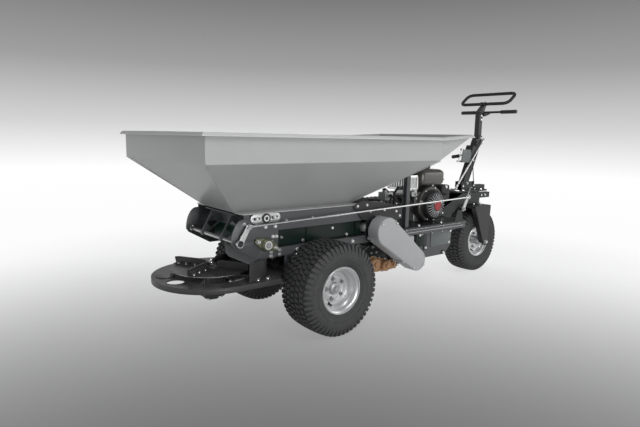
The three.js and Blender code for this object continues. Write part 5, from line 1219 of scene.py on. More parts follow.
class TOPDRESSER_OT_spreader(bpy.types.Operator):
    """Make the spinner disc with its vanes, the deck, the guard wall and the gearbox under it"""

    bl_idname = "topdresser.spreader"
    bl_label = "Spreader"

    def execute(self, context):
        self.disc()
        self.deck()
        self.wall()
        self.drive()
        self.chute()
        return {"FINISHED"}

    def chute(self):
        """The bent sheet under the belt's front end, cut back towards its lip on the far side"""
        near, sheet = -208, 3
        rings = []
        for x, z, far in ((-283, 400.5, 208), (-354, 369, 60), (-376, 364, -10)):
            rings.append([(x, near, z), (x, far, z), (x, far, z + sheet), (x, near, z + sheet)])
        form = Form().loft(rings)
        form.done("belt_end_chute", "guard", "discharge_chute", "cover_paint", bevel=0.8)

    def disc(self):
        centre = Vector((SPIN_X, 0, 0))
        form = Form().lathe([(0, 318), (184, 318), (188, 318.6), (190, 320.4), (190, 322), (0, 322)],
            centre, Z, 96)
        profile = [(13, 321), (42, 321), (42, 330), (39, 333), (26, 334), (24, 343), (21, 344), (0, 344)]
        form.lathe(profile, centre, Z)
        form.lathe([(0, 286.2), (13, 286.2), (13, 319), (0, 319)], centre, Z, 32)
        bolts = Form()
        for i in range(4):
            turn = Matrix.Translation(centre) @ Matrix.Rotation(math.radians(32 + 90 * i), 4, "Z")
            self.vane(form, turn)
            for out in (78, 128, 172):
                bolts.bolt(turn @ Vector((out, 16, DISC_TOP + 4)), Z, 7)
        for x, y in circle(SPIN_X, 0, 32, 4, 10):
            bolts.bolt((x, y, 333.4), Z, 6, washer=False)
        form.done("spinner_plate", "deck", "spinner_disc", "black_paint", "spinner", bevel=0.8, weld=False)
        bolts.nut(centre + Z * 344, Z, 11)
        bolts.done("spinner_bolts", "zinc", body="spinner")
        # A bright steel band round the disc's edge: a painted highlight along it
        profile = [(189.2, 318.9), (190.6, 318.9), (190.6, 321.7), (189.2, 321.7)]
        ring = Form().lathe(profile, centre, Z, 96)
        ring.done("spinner_edge_highlight", "steel_bright", body="spinner", weld=False)

    def vane(self, form, turn):
        """Adds a vane: foot on the disc, upright web and a folded lip."""
        section = shell_of([(25, 1.5), (1.5, 1.5), (1.5, 34.5), (12, 34.5)], 3)
        rings = []
        for out, share in ((30, 0.82), (60, 1.0), (180, 1.0), (199, 0.9)):
            ring = [(out, u, DISC_TOP + v * (share if v > 4 else 1)) for u, v in section]
            rings.append([turn @ Vector(point) for point in ring])
        form.loft(rings)

    def deck(self):
        outline = arc(SPIN_X, 0, 278, 90, 270, 64)
        outline += [(DECK_STEP, -278), (DECK_STEP, -225), (-146, -225), (-146, 225), (DECK_STEP, 225),
            (DECK_STEP, 278)]
        hole_x, hole_y = polar(SPIN_X, 0, 214, 196)
        holes = [circle(hole_x, hole_y, 40, 48), circle(hole_x, -hole_y, 40, 48), circle(SPIN_X, 0, 46, 48)]
        for middle in (-90, 90):
            outer = arc(SPIN_X, 0, 198, middle - 42, middle + 42, 21)
            inner = arc(SPIN_X, 0, 92, middle + 42, middle - 42, 21)
            holes.append(rounded(outer + inner, 12, 3))
        form = Form().plate([outline, *holes], "Z", 287.4, 292, 0.8)
        lip = [(DECK_STEP, 275.6), *arc(SPIN_X, 0, 275.6, 90, 270, 64), (DECK_STEP, -275.6)]
        form.plate([shell_of(lip, 4.6)], "Z", LIP_FOOT, LIP_TOP, 0.8)
        for side in (-1, 1):
            form.block((DECK_STEP - 2.4, side * 223, LIP_FOOT), (DECK_STEP + 2.2, side * 278, LIP_TOP))
            form.block((DECK_STEP, side * 220.4, LIP_FOOT), (-146, side * 225, LIP_TOP))
        form.done("spreader_deck", "deck", "spinner_deck", "black_paint", smooth=30, weld=False)
        rims = Form()
        profile = [(39.4, 291), (44.5, 291), (44.5, 293.4), (43, 294.4), (40.4, 294.2), (39.4, 293)]
        for y in (hole_y, -hole_y):
            rims.lathe(profile, (hole_x, y, 0), Z, 56)
        rims.lathe([(0, 290), (38, 290), (43, 294), (42, 297), (0, 299)], (hole_x, -hole_y, 0), Z)
        rims.done("deck_hole_rims", "deck")

    def wall(self):
        """The curved guard on the deck's machine side, with its foot flange"""
        first, last, steps = -77, 40, 60
        top = RAIL_FOOT - 6
        section = [(268, 292.6), (268, top), (265, top), (265, 295.6), (256, 295.6), (256, 292.6)]
        rings = []
        for u, v in arc(0, 0, 1, first, last, steps):
            rings.append([(SPIN_X + r * u, r * v, z) for r, z in section])
        form = Form().loft(rings)
        form.done("spreader_guard_wall", "deck", "spreader_wall", "black_paint", bevel=1.0)
        flange = [(*polar(SPIN_X, 0, 260.5, angle), 295.8) for angle in (-70, -52, -30, -8, 14, 34)]
        feet = [(x, side * y, 292.8) for side in (-1, 1) for x, y in ((-346, 238), (-296, 243))]
        bolt_set("guard_wall_bolts", (Z, 7, flange), (Z, 10, feet))

    def drive(self):
        """The right-angle gearbox under the deck and the shaft that drives it"""
        form = Form()
        form.plate([rounded(oblong(SPIN_X - 52, -52, SPIN_X + 52, 52), 16)], "Z", 180.7, 286.7, 5)
        form.lathe([(0, 165.7), (30, 165.7), (36, 168), (36.4, 181.5), (0, 181.5)], (SPIN_X, 0, 0), Z)
        profile = [(0, 46), (26, 46), (26, 74), (22, 76), (20, 83.2), (0, 83.2)]
        form.lathe(profile, (SPIN_X, 0, BOX_SHAFT_Z), X, 40)
        for y in (-40, -20, 0, 20, 40):
            form.block((SPIN_X - 54, y - 2, 192), (SPIN_X + 54, y + 2, 276))
        form.done("spinner_gearbox_casting", "black", "spinner_gearbox", "black_paint", weld=False)
        shaft = Form().drum((SPIN_X + 80, 0, BOX_SHAFT_Z), (-92, 0, SHAFT_Z), 12)
        profile = [(12, -16), (19, -16), (20, -14), (20, 14), (19, 16), (12, 16)]
        for x, z in ((SPIN_X + 104, 234.9), (-112, 247)):
            shaft.lathe(profile, (x, 0, z), X, 36)
            shaft.drum((x, -24, z), (x, 24, z), 5, sides=20)
        shaft.done("spinner_line_shaft", "steel_bright", weld=False)
        corners = [(x, y, 180.6) for x, y in oblong(SPIN_X - 38, -38, SPIN_X + 38, 38)]
        cover = [(x, y, 165.6) for x, y in circle(SPIN_X, 0, 26, 4, 45)]
        bolt_set("spinner_gearbox_bolts", (-Z, 8, corners), (-Z, 5, cover))


# Drive and platform

CASE_FACE, CASE_HALF_WIDTH = 118, 112
COVER_X, COVER_Z = 520, 250


class TOPDRESSER_OT_gearbox(bpy.types.Operator):
    """Make the cast gearbox between the engine and the axle, with the drive unit above it"""

    bl_idname = "topdresser.gearbox"
    bl_label = "Gearbox"

    def execute(self, context):
        self.case()
        self.lower_castings()
        self.case_bolts()
        self.drive_unit()
        return {"FINISHED"}

    def case(self):
        foot, top, front, rear, half = 178, 330, 430, 770, CASE_HALF_WIDTH
        outline = [(front, foot + 38), (front + 38, foot), (rear - 38, foot), (rear, foot + 38)]
        outline += [(rear, top), (front + 76, top), (front, top - 38)]
        form = Form().plate([rounded(outline, 16)], "Y", -half, half, 7)
        grown = [(u + (3.6 if u > 600 else -3.6), v + (3.6 if v > 250 else -3.6)) for u, v in outline]
        for y in (-half, 0, half):
            form.plate([rounded(grown, 18)], "Y", y - 6, y + 6, 1.5)
        for x in (500, 560, 720):
            form.block((x - 4, -110, foot - 3), (x + 4, 110, top + 3))
        profile = [(13, -8), (24, -8), (31, -5), (31, 0), (40, 6), (44, 20), (13, 20)]
        form.lathe(profile, (OUTPUT_X, -122, OUTPUT_Z), Y)
        for side in (-1, 1):
            cover = [(0, 0), (52, 0), (58, 8), (58, 22), (0, 22)]
            form.lathe(cover, (COVER_X, side * 120, COVER_Z), -Y * side)
        form.block((679, -226, 379), (732, 226, 389))
        form.block((679, -half, 322), (732, half, 388))
        form.done("gearbox_casting", "deep", "gearbox", "cast_bronze", bevel=1.2, weld=False)

    def case_bolts(self):
        bolts = Form()
        seats = ((448, 222), (480, 186), (560, 184), (640, 184), (726, 188), (762, 222), (762, 300),
            (512, 322))
        for side in (-1, 1):
            for x, z in seats:
                bolts.bolt((x, side * 118.2, z), Y * side, 8)
            for x, z in circle(COVER_X, COVER_Z, 44, 6):
                bolts.bolt((x, side * 120.2, z), Y * side, 7)
            for x in (692, 720):
                bolts.bolt((x, side * 210, 379), -Z, 9)
        bolts.drum((600, -60, 333), (600, -60, 352), 11, 9, 24)
        bolts.done("gearbox_bolts", "zinc")

    def lower_castings(self):
        """The bronze coloured bearing housings low on the case's sides"""
        bolts = Form()
        for name, side in SIDES:
            form = Form()
            near = side * CASE_FACE
            for x, z, r, deep in ((512, 222, 42, 38), (596, 206, 36, 46), (668, 200, 26, 30)):
                housing = [(0, 0), (r + 5, 0), (r + 5, 7), (r, 9), (r - 3, deep - 6), (r - 9, deep),
                    (0, deep)]
                form.lathe(housing, (x, near, z), Y * side, 40)
                cap = [(0, deep), (r * 0.4, deep), (r * 0.4, deep + 7), (0, deep + 7)]
                form.lathe(cap, (x, near, z), Y * side, 24)
                for u, v in circle(x, z, r + 1, 6, 20):
                    form.drum((u, near, v), (u, side * 132, v), 6, 5.4, 12)
                    bolts.bolt((u, side * 132, v), Y * side, 5)
            for x, top in ((552, 254), (636, 230)):
                form.block((x - 5, near, 178), (x + 5, side * 140, top))
            form.block((488, near, 172), (700, side * 136, 184))
            form.done(name + "_bearing_castings", "bronze", slot="cast_bronze", bevel=1.0, weld=False)
        bolts.done("bearing_casting_bolts", "zinc")

    def drive_unit(self):
        """The hydrostatic unit ahead of the engine, with its valve block, fittings and hoses"""
        motor_x, motor_z = 690, 508
        form = Form()
        body = [(604, 436.4), (764, 436.4), (764, 566), (738, 590), (604, 590)]
        form.plate([rounded(body, 14)], "Y", -66, 66, 6)
        for x in (630, 664, 698, 732):
            form.block((x - 3, -71, 446), (x + 3, 71, 592))
        form.lathe([(0, 0), (44, 0), (46, 3), (46, 44), (38, 52), (0, 52)], (motor_x, -66, motor_z), -Y)
        form.lathe([(0, 0), (30, 0), (30, 24), (24, 28), (0, 28)], (motor_x, -118, motor_z), -Y, 40)
        form.done("drive_unit_body", "black", bevel=1.0, weld=False)
        block = Form().block((608, -112, 590.4), (672, -52, 636))
        block.drum((624, -112, 618), (624, -126, 618), 9, sides=24)
        block.drum((652, -112, 606), (652, -126, 606), 9, sides=6)
        block.block((618, -96, 636), (640, -74, 648))
        block.done("valve_block", "alloy", bevel=2.0, weld=False)
        hoses = Form()
        for start, drop, end in (((624, -126, 618), 30, (560, -170, 500)),
                ((652, -126, 606), 16, (740, -150, 452)), ((690, -146, 516), 24, (770, -150, 620)),
                ((640, -60, 648), -26, (760, -60, 640))):
            a, b = Vector(start), Vector(end)
            middle = (a + b) / 2 + Vector((0, -20, drop))
            run = [a, a + Vector((0, -18, 4)), middle, b + Vector((0, -10, 18)), b]
            hoses.tube(smooth_path(run, 7), 6.5, 14)
        hoses.done("drive_unit_hoses", "rubber", weld=False)
        bright = Form()
        for x, z in circle(motor_x, motor_z, 40, 6, 15):
            bright.bolt((x, -118.2, z), -Y, 6)
        for x, z in ((616, 448), (752, 448), (616, 578), (752, 560)):
            bright.bolt((x, -66.3, z), -Y, 8)
        bright.drum((motor_x, -146, motor_z), (motor_x, -158, motor_z), 9, sides=6)
        bright.drum((706, -60, 590), (706, -60, 628), 4, sides=16)
        bright.block((690, -63, 622), (724, -57, 634))
        bright.done("drive_unit_fittings", "zinc", weld=False)


class TOPDRESSER_OT_platform(bpy.types.Operator):
    """Finish the engine platform and its pan, with bolts, panels, a painted edge highlight with its rod and
    clips, cross member and side guard
    """

    bl_idname = "topdresser.platform"
    bl_label = "Platform"

    def execute(self, context):
        dress("engine_platform", "deep", 1.4)
        dress("belly_pan", "steel", 1.8)
        self.bolts()
        self.panels()
        self.edge_highlight_and_rod()
        section = [(296, 572), (404, 572), (404, 625), (296, 606)]
        member = Form().loft([on_face(y, section) for y in (-172, 172)])
        member.done("hopper_cross_member", "black", bevel=1.5)
        self.side_guard()
        return {"FINISHED"}

    def bolts(self):
        rows = []
        for side in (-1, 1):
            rows.append((Z, 10, [(x, side * 214, 435.9) for x in (586, 800, 1010, 1215)]))
            rows.append((-Z, 8, [(x, side * 218, 386) for x in (830, 920, 1020, 1110)]))
            pan = ((883, 290), (1112, 300), (1062, 238), (1122, 374), (826, 374))
            rows.append((Y * side, 9, on_face(side * 203.3, pan)))
        bolt_set("platform_bolts", *rows)

    def panels(self):
        grey, green = Form(), Form()
        for side in (-1, 1):
            near, far = side * 200.2, side * 203.2
            shape = [(934, 288), (1106, 288), (1134, 332), (1134, 387), (934, 387)]
            grey.plate([rounded(shape, 8)], "Y", near, far, 0.8)
            green.plate([rounded(oblong(812, 300, 898, 387), 4)], "Y", near, far, 0.8)
            green.block((868, near, 274), (898, far, 300))
            green.block((1046, near, 226), (1078, far, 250))
        grey.done("pan_side_panels", "panel")
        green.done("pan_front_panels", "bed")

    def edge_highlight_and_rod(self):
        bright_edge_and_rod = Form()
        for side in (-1, 1):
            near = side * SKIRT_FACE
            # A thin bright steel strip along the rail's side: a painted highlight of the rail's edge. The
            # thin rod above it sits on clips.
            bright_edge_and_rod.block((582, near, 404), (1212, side * 237, 408))
            bright_edge_and_rod.drum((640, side * 241, 424), (1180, side * 241, 424), 1.6, sides=12)
            for x in (660, 830, 1000, 1160):
                bright_edge_and_rod.block((x - 4, near, 420), (x + 4, side * 243.6, 428))
        bright_edge_and_rod.done("platform_edge_highlight_and_rod", "steel_bright", weld=False)

    def side_guard(self):
        """The black plate beside the belt's tail, from the skirt back to the platform"""
        outline = [(240, 588), (240, 600), (285, 620), (344, 618), (449, 601)]
        outline += [(612, 572), (612, 498), (500, 498), (306, 518)]
        form = Form().plate([rounded(outline, 8)], "Y", -243.8, -240.8, 0.8)
        for x, z in ((262, 592), (330, 590)):
            form.drum((x, -235.4, z), (x, -241, z), 9, sides=24)
        form.done("tail_side_guard", "black", weld=False)
        seats = ((262, 596), (330, 598), (356, 562), (464, 562), (560, 548), (590, 520))
        bolt_set("side_guard_bolts", (-Y, 8, on_face(-243.9, seats)))


# Engine

ENGINE_X, CRANK_Z, FOOT_Z = 990, 544.1, 436.1
CASE_HALF, FIN_REACH = 92, 74
HEAD_FRONT = ENGINE_X - CASE_HALF - FIN_REACH


class TOPDRESSER_OT_engine(bpy.types.Operator):
    """Make the engine: crankcase, cylinder, blower housing, recoil starter, muffler and air cleaner"""

    bl_idname = "topdresser.engine"
    bl_label = "Engine"

    def execute(self, context):
        self.crankcase()
        self.cylinder()
        self.blower()
        self.starter()
        self.starter_grip()
        self.muffler()
        self.air_cleaner()
        self.fittings()
        self.fuel_hose()
        return {"FINISHED"}

    def crankcase(self):
        low, high = ENGINE_X - CASE_HALF, ENGINE_X + CASE_HALF
        outline = [(low, FOOT_Z), (high, FOOT_Z), (high, 602), (high - 30, 632), (low + 30, 632),
            (low, 602)]
        form = Form().plate([rounded(outline, 14)], "Y", -85, 84, 7)
        flange = [(low - 4, FOOT_Z), (high + 4, FOOT_Z), (high + 4, 604)]
        flange += [(high - 28, 635), (low + 28, 635), (low - 4, 604)]
        form.plate([rounded(flange, 16)], "Y", 60, 72, 1.5)
        form.plate([rounded(oblong(low, FOOT_Z + 0.2, high, 449), 4)], "Y", -85, 94, 2)
        cover = [(0, -4), (58, -4), (62, 2), (62, 14), (44, 20), (26, 24), (0, 24)]
        form.lathe(cover, (ENGINE_X, 72, CRANK_Z), Y, 56)
        for i in range(7):
            x = low + 16 + 25 * i
            form.block((x - 2, -80, 452), (x + 2, 86, 462))
        form.lathe([(0, 0), (10, 0), (11, 1), (11, 46), (10, 47), (0, 47)], (ENGINE_X, 96, CRANK_Z), Y, 32)
        form.done("engine_crankcase", "alloy", "engine_block", "cast_alloy", weld=False)
        bolts = Form()
        for x, z in ((912, 470), (912, 590), (950, 622), (1030, 622), (1068, 590), (1068, 470), (990, 455)):
            bolts.bolt((x, 72.5, z), Y, 8)
        for x, y in oblong(912, -60, 1068, 70):
            bolts.bolt((x, y, 449.2), Z, 9)
        bolts.drum((1083, 50, 470), (1096, 50, 470), 13, sides=24)
        bolts.drum((1082, -20, 462), (1092, -20, 462), 9, sides=6)
        bolts.done("engine_bolts", "zinc")

    def cylinder(self):
        """Fins with open gaps round a solid barrel, and the head's cover"""
        rear, foot = 904, 526
        form = Form()
        sheet = rounded(oblong(HEAD_FRONT, -80, rear, 86), 12)
        for i in range(6):
            z = foot + 16.2 * i
            form.plate([sheet], "Z", z + 0.6, z + 8.4, 1.2)
        form.plate([rounded(oblong(HEAD_FRONT + 14, -62, rear, 70), 18)], "Z", foot, 613, 1.0)
        form.done("cylinder_fins", "alloy", slot="cast_alloy", weld=False)
        cover = rounded(oblong(-58, 540, 66, 600), 14)
        head = Form().plate([cover], "X", HEAD_FRONT - 6, HEAD_FRONT + 10, 4)
        head.done("rocker_cover", "engine", bevel=0.8)
        seats = [(HEAD_FRONT - 6.2, y, z) for y, z in oblong(-48, 549, 56, 591)]
        bolt_set("rocker_cover_bolts", (-X, 6, seats))

    def blower(self):
        """The pressed blower housing round the flywheel"""
        face, back = -147.7, -85.9
        outline = arc(ENGINE_X, CRANK_Z, 118, -50, 180, 48)
        outline += [(ENGINE_X - 118, 503), (ENGINE_X - 53, 441), (ENGINE_X + 71, 441)]
        form = Form().plate([outline, circle(ENGINE_X, CRANK_Z, 84, 72)], "Y", face, back, 9)
        form.plate([rounded(oblong(843, 549, 931, 629), 12)], "Y", face + 15, back, 6)
        form.done("blower_shell", "engine", "blower_housing", "black_paint", smooth=50, weld=False)
        rim = on_face(-146.8, [polar(ENGINE_X, CRANK_Z, 108, angle) for angle in (30, 75, 125, 168)])
        foot = on_face(-146.6, ((954, 456), (1040, 456)))
        bolt_set("blower_bolts", (-Y, 6, rim + foot + [(856, -132.8, 590)]))

    def starter(self):
        """The recoil starter: thin spokes round a plain centre disc, over the flywheel's fan"""
        centre = Vector((ENGINE_X, 0, CRANK_Z))
        shell = [(94.6, -148.3), (94.6, -151), (92, -153), (90.4, -158), (89.4, -172), (86, -181)]
        shell += [(80, -185.4), (77, -186.4)]
        form = Form().lathe(shell_of(shell, 2.4), centre, Y, 96)
        hub = [(0, -199.9), (33, -199.9), (37, -198.6), (39, -195.6), (39, -193), (36, -195), (0, -196)]
        form.lathe(hub, centre, Y, 64)
        form.done("starter_cover", "black", "recoil_starter", "black_paint", weld=False)
        spokes = Form()
        half, deep = 2.0, 4
        for u, v in circle(0, 0, 1, 26):
            way, across = Vector((u, 0, v)), Vector((-v, 0, u)) * half
            rings = []
            for radius, y in ((36, -197.8), (52, -196.2), (66, -192.4), (80, -186.2)):
                front = centre + way * radius + Y * y
                back = front + Y * deep
                rings.append([front + across, front - across, back - across, back + across])
            spokes.loft(rings)
        spokes.done("starter_spokes", "guard", weld=False)
        # The flywheel fan is black, and made nearly black as painted shade in the recess behind the spokes
        fan = Form().lathe([(0, -160), (83, -160), (83, -157), (0, -157)], centre, Y, 64)
        for i in range(24):
            turn = Matrix.Translation(centre) @ Matrix.Rotation(math.radians(15 * i), 4, "Y")
            fan.block((54, -172, -1.2), (80, -160, 1.2), turn)
        fan.done("flywheel_fan", "dark", weld=False)
        disc = [(0, -202.2), (24, -202.2), (29, -201.6), (31, -200.4), (31, -199.2), (0, -199.2)]
        Form().lathe(disc, centre, Y, 64).done("starter_centre_disc", "red")
        bolts = Form()
        for x, z in circle(ENGINE_X, CRANK_Z, 38, 3, 30):
            bolts.bolt((x, -199.9, z), -Y, 4.5)
        for x, z in circle(ENGINE_X, CRANK_Z, 99, 3, 45):
            bolts.drum((x, -150.5, z), (x, -147.6, z), 8, sides=24)
            bolts.bolt((x, -150.4, z), -Y, 6)
        bolts.done("starter_bolts", "zinc")

    def starter_grip(self):
        """The cord's pull grip at the starter's side"""
        base = Vector((ENGINE_X + 82, -166, CRANK_Z + 56))
        grip = Form().drum(base + Vector((-12, 0, -8)), base + Vector((8, 0, 6)), 10, sides=28)
        bow = ((8, -22, 8), (12, -12, 10), (13, 0, 10), (12, 12, 10), (8, 22, 8))
        grip.tube(smooth_path([base + Vector(p) for p in bow], 5), 6.4)
        grip.done("starter_grip", "plastic", bevel=1.0, weld=False)

    def muffler(self):
        """The muffler: a seamed shell behind a slotted guard"""
        low, high = box_of("muffler")
        x0, x1 = low.x, high.x
        y0, y1 = -138, 36
        z0, z1 = 637.1, 733.1
        form = Form()
        form.plate([rounded(oblong(x0 + 7, z0 + 7, x1 - 7, z1 - 7), 22)], "Y", y0 + 9, y1 - 9, 10)
        form.plate([rounded(oblong(x0 + 3, z0 + 3, x1 - 3, z1 - 3), 24)], "Y", -54, -49, 1.4)
        form.block((x1 - 45, -55.9, 614.6), (x1 - 30, 16, 646))
        form.drum((x0 + 24, y0 + 22, 660), (x0 - 0.5, y0 + 16, 652), 11)
        form.done("muffler_shell", "spangle", "muffler", "cast_alloy", smooth=45, weld=False)
        middle = (z0 + z1) / 2 + 2
        guard = Form()
        slots = [slot_outline(x0 + 20 + 13 * i, middle, 62, 3.6, upright=True) for i in range(5)]
        guard.plate([rounded(oblong(x0, z0 + 2, x1 - 1, z1), 16), *slots], "Y", y0, y0 + 2.4, 0.6)
        slots = [slot_outline(y0 + 26 + 20 * i, middle, 60, 4.2, upright=True) for i in range(7)]
        face = rounded(oblong(y0 + 4, z0 + 4, y1, z1 - 2), 10)
        guard.plate([face, *slots], "X", x0 + 0.2, x0 + 2.4, 0.5)
        guard.done("muffler_guard", "zinc")

    def air_cleaner(self):
        x1 = box_of("air_cleaner")[1].x
        x0 = x1 - 84
        z0 = FOOT_Z + 121.52
        form = Form().plate([rounded(oblong(x0, z0, x1, z0 + 104), 18)], "Y", -128, 36, 9)
        form.plate([rounded(oblong(x0 - 1.6, z0 - 1.6, x1 + 1.2, z0 + 105.6), 18)], "Y", -28, -22, 1.6)
        for i in range(5):
            form.block((x0 + 14, -130, z0 + 24 + 14 * i), (x1 - 14, -127, z0 + 29 + 14 * i))
        form.block((1082.3, -55.9, z0 + 5), (x0 + 6, 16, z0 + 35))
        form.done("air_cleaner_box", "plastic", "air_cleaner", "black_paint", bevel=0.8, weld=False)
        profile = [(0, -134), (9, -134), (11, -132), (11, -127), (0, -127)]
        knob = Form().lathe(profile, ((x0 + x1) / 2, 0, z0 + 91), Y, 24)
        for z in (z0 + 30, z0 + 74):
            knob.block((x1 + 0.6, -34, z - 8), (x1 + 3.4, -16, z + 8))
        knob.done("air_cleaner_latches", "zinc", bevel=0.8)

    def fittings(self):
        """Plug lead, carburettor, governor rod and throttle lever"""
        lead = Form()
        run = [(HEAD_FRONT - 24, 4, 572), (HEAD_FRONT - 26, -30, 588), (HEAD_FRONT + 6, -84, 604)]
        lead.tube(smooth_path(run + [(850, -112, 612), (868, -118, 606)]), 3.6, 12)
        lead.drum((HEAD_FRONT - 4, 4, 570), (HEAD_FRONT - 26, 4, 572), 9, 7.5, 20)
        lead.done("spark_plug_lead", "rubber", weld=False)
        carb = Form().plate([rounded(oblong(1066, 590, 1098, 630), 6)], "Y", -52, 8, 3)
        carb.lathe([(0, 572), (19, 572), (22, 576), (22, 590), (0, 590)], (1094, -22, 0), Z, 36)
        shape = [(812, 604), (858, 604), (858, 640), (840, 654), (812, 654)]
        carb.plate([rounded(shape, 5)], "Y", -137, -133, 0.8)
        carb.drum((828, -150, 638), (828, -133, 638), 9, 8, 24)
        carb.drum((846, -146, 616), (846, -133, 616), 6, sides=6)
        carb.done("carburettor", "alloy", weld=False)
        rods = Form()
        rods.tube(bent_path([(1070, -70, 520), (1088, -76, 560), (1088, -58, 604)], 10), 1.8, 10)
        rods.tube(bent_path([(930, -92, 640), (1000, -96, 648), (1084, -60, 628)], 20), 1.6, 10)
        rods.plate([rounded([(1040, 632), (1078, 632), (1078, 660), (1062, 668)], 5)], "Y", -94, -91, 0.6)
        rods.done("governor_linkage", "zinc", weld=False)

    def fuel_hose(self):
        """The fuel hose to the carburettor and the hose beside the cylinder head"""
        long = [(812, -100, 660), (790, -126, 640), (794, -134, 590), (820, -138, 560), (850, -130, 552)]
        short = [(1040, -120, 664), (1046, -126, 640), (1066, -110, 612), (1088, -60, 600)]
        hose = Form().tube(smooth_path(short), 4.2, 12)
        hose.tube(smooth_path(long), 5, 12)
        hose.done("fuel_hose", "rubber", weld=False)


class TOPDRESSER_OT_fuel_tank(bpy.types.Operator):
    """Make the pressed fuel tank with its seam flange, saddle and cap"""

    bl_idname = "topdresser.fuel_tank"
    bl_label = "Fuel tank"

    def execute(self, context):
        x0, x1 = ENGINE_X - 113, ENGINE_X + 113
        y0, y1 = -158, 36
        z0, z1 = 664.1, 768.1
        seam = z0 + 35.36
        form = Form()
        plan = rounded(oblong(x0, y0, x1, y1), 34, 8)
        self.pressing(form, plan, seam + 2.5, z1, 30)
        self.pressing(form, plan, seam + 2.5, z0, 26)
        lip = rounded(oblong(x0 - 5, y0 - 5, x1 + 5, y1 + 5), 36, 8)
        form.plate([lip], "Z", seam, seam + 5, 1.2)
        form.block((x0 + 34, -80.9, 632.4), (x1 - 34, 31, 676))
        form.done("fuel_tank_shell", "tank", "fuel_tank", "black_paint", smooth=60, weld=False)
        seats = [(x, y, seam + 5.2) for x, y in oblong(x0 + 1, -120, x1 - 1, 0)]
        bolt_set("tank_seam_bolts", (Z, 5, seats))
        self.cap()
        return {"FINISHED"}

    def pressing(self, form, plan, foot, crest, radius):
        """Adds half of a pressed shell: the plan drawn up, rounded over and slightly crowned."""
        steps, crown = 7, 3
        way = 1 if crest > foot else -1
        cx, cy = (sum(p[k] for p in plan) / len(plan) for k in (0, 1))
        reach, deep = max(p[0] for p in plan) - cx, max(p[1] for p in plan) - cy

        def ring(share_x, share_y, z):
            return [(cx + (x - cx) * share_x, cy + (y - cy) * share_y, z) for x, y in plan]

        shoulder = crest - way * crown
        rings = [ring(1, 1, foot)]
        for u, v in arc(0, 0, 1, 0, 90, steps):
            inset = radius * (1 - u)
            rings.append(ring((reach - inset) / reach, (deep - inset) / deep,
                shoulder - way * radius * (1 - v)))
        for share, rise in ((0.6, 1.8), (0.3, 2.6), (0.05, crown)):
            share_x, share_y = (reach - radius) / reach * share, (deep - radius) / deep * share
            rings.append(ring(share_x, share_y, shoulder + way * rise))
        form.loft(rings)

    def cap(self):
        """The ribbed filler cap"""
        low, high = box_of("fuel_cap")
        x, y, z0 = (low.x + high.x) / 2, -61, 768.4
        points = [polar(x, y, 25.8 if i % 3 else 24.4, 5 * i) for i in range(72)]
        form = Form().plate([points], "Z", z0 + 3, z0 + 17.5, 0.8)
        form.lathe([(0, z0), (22, z0), (22, z0 + 4), (0, z0 + 4)], (x, y, 0), Z, 40)
        form.lathe([(0, z0 + 17), (20, z0 + 17), (19, z0 + 19.4), (0, z0 + 20)], (x, y, 0), Z)
        form.done("filler_cap", "plastic", "fuel_cap", "grip_plastic", "tank_cap", weld=False)


# Steering

STEER_X = 1655
HEAD_Z, BASE_Z = 494.97, 589.27


class TOPDRESSER_OT_steering(bpy.types.Operator):
    """Make the steering head's collars and bolts, and finish the head and the fork"""

    bl_idname = "topdresser.steering"
    bl_label = "Steering head and fork"

    def execute(self, context):
        dress("steering_head", "deep", 2.2)
        dress("fork", "black", 1.6)
        head = Form()
        for z in (HEAD_Z + 0.2, HEAD_Z + 80):
            collar = [(21.2, 0), (38.5, 0), (39.5, 1), (39.5, 12.6), (38.5, 13.6), (21.2, 13.6)]
            head.lathe(collar, (STEER_X, 0, z), Z, 56)
        head.done("head_tube_collars", "steel_bright", weld=False)
        rest = Form()
        rows = []
        for side in (-1, 1):
            rest.nut((WHEEL_X, side * 131.9, AXLE_Z), Y * side, 13, 0.3)
            rows.append((Y * side, 9, on_face(side * 54.2, ((1150, 462), (1222, 462)))))
            rows.append((Z, 9, [(x, side * 34, 494.2) for x in (1612, 1698)]))
        rest.done("fork_axle_nuts", "zinc", body="steering", weld=False)
        bolt_set("steering_head_bolts", *rows)
        bolt_set("receiver_bolts", (-Y, 8, on_face(-20.2, ((1720, 552), (1765, 552)))))
        return {"FINISHED"}


# Tiller


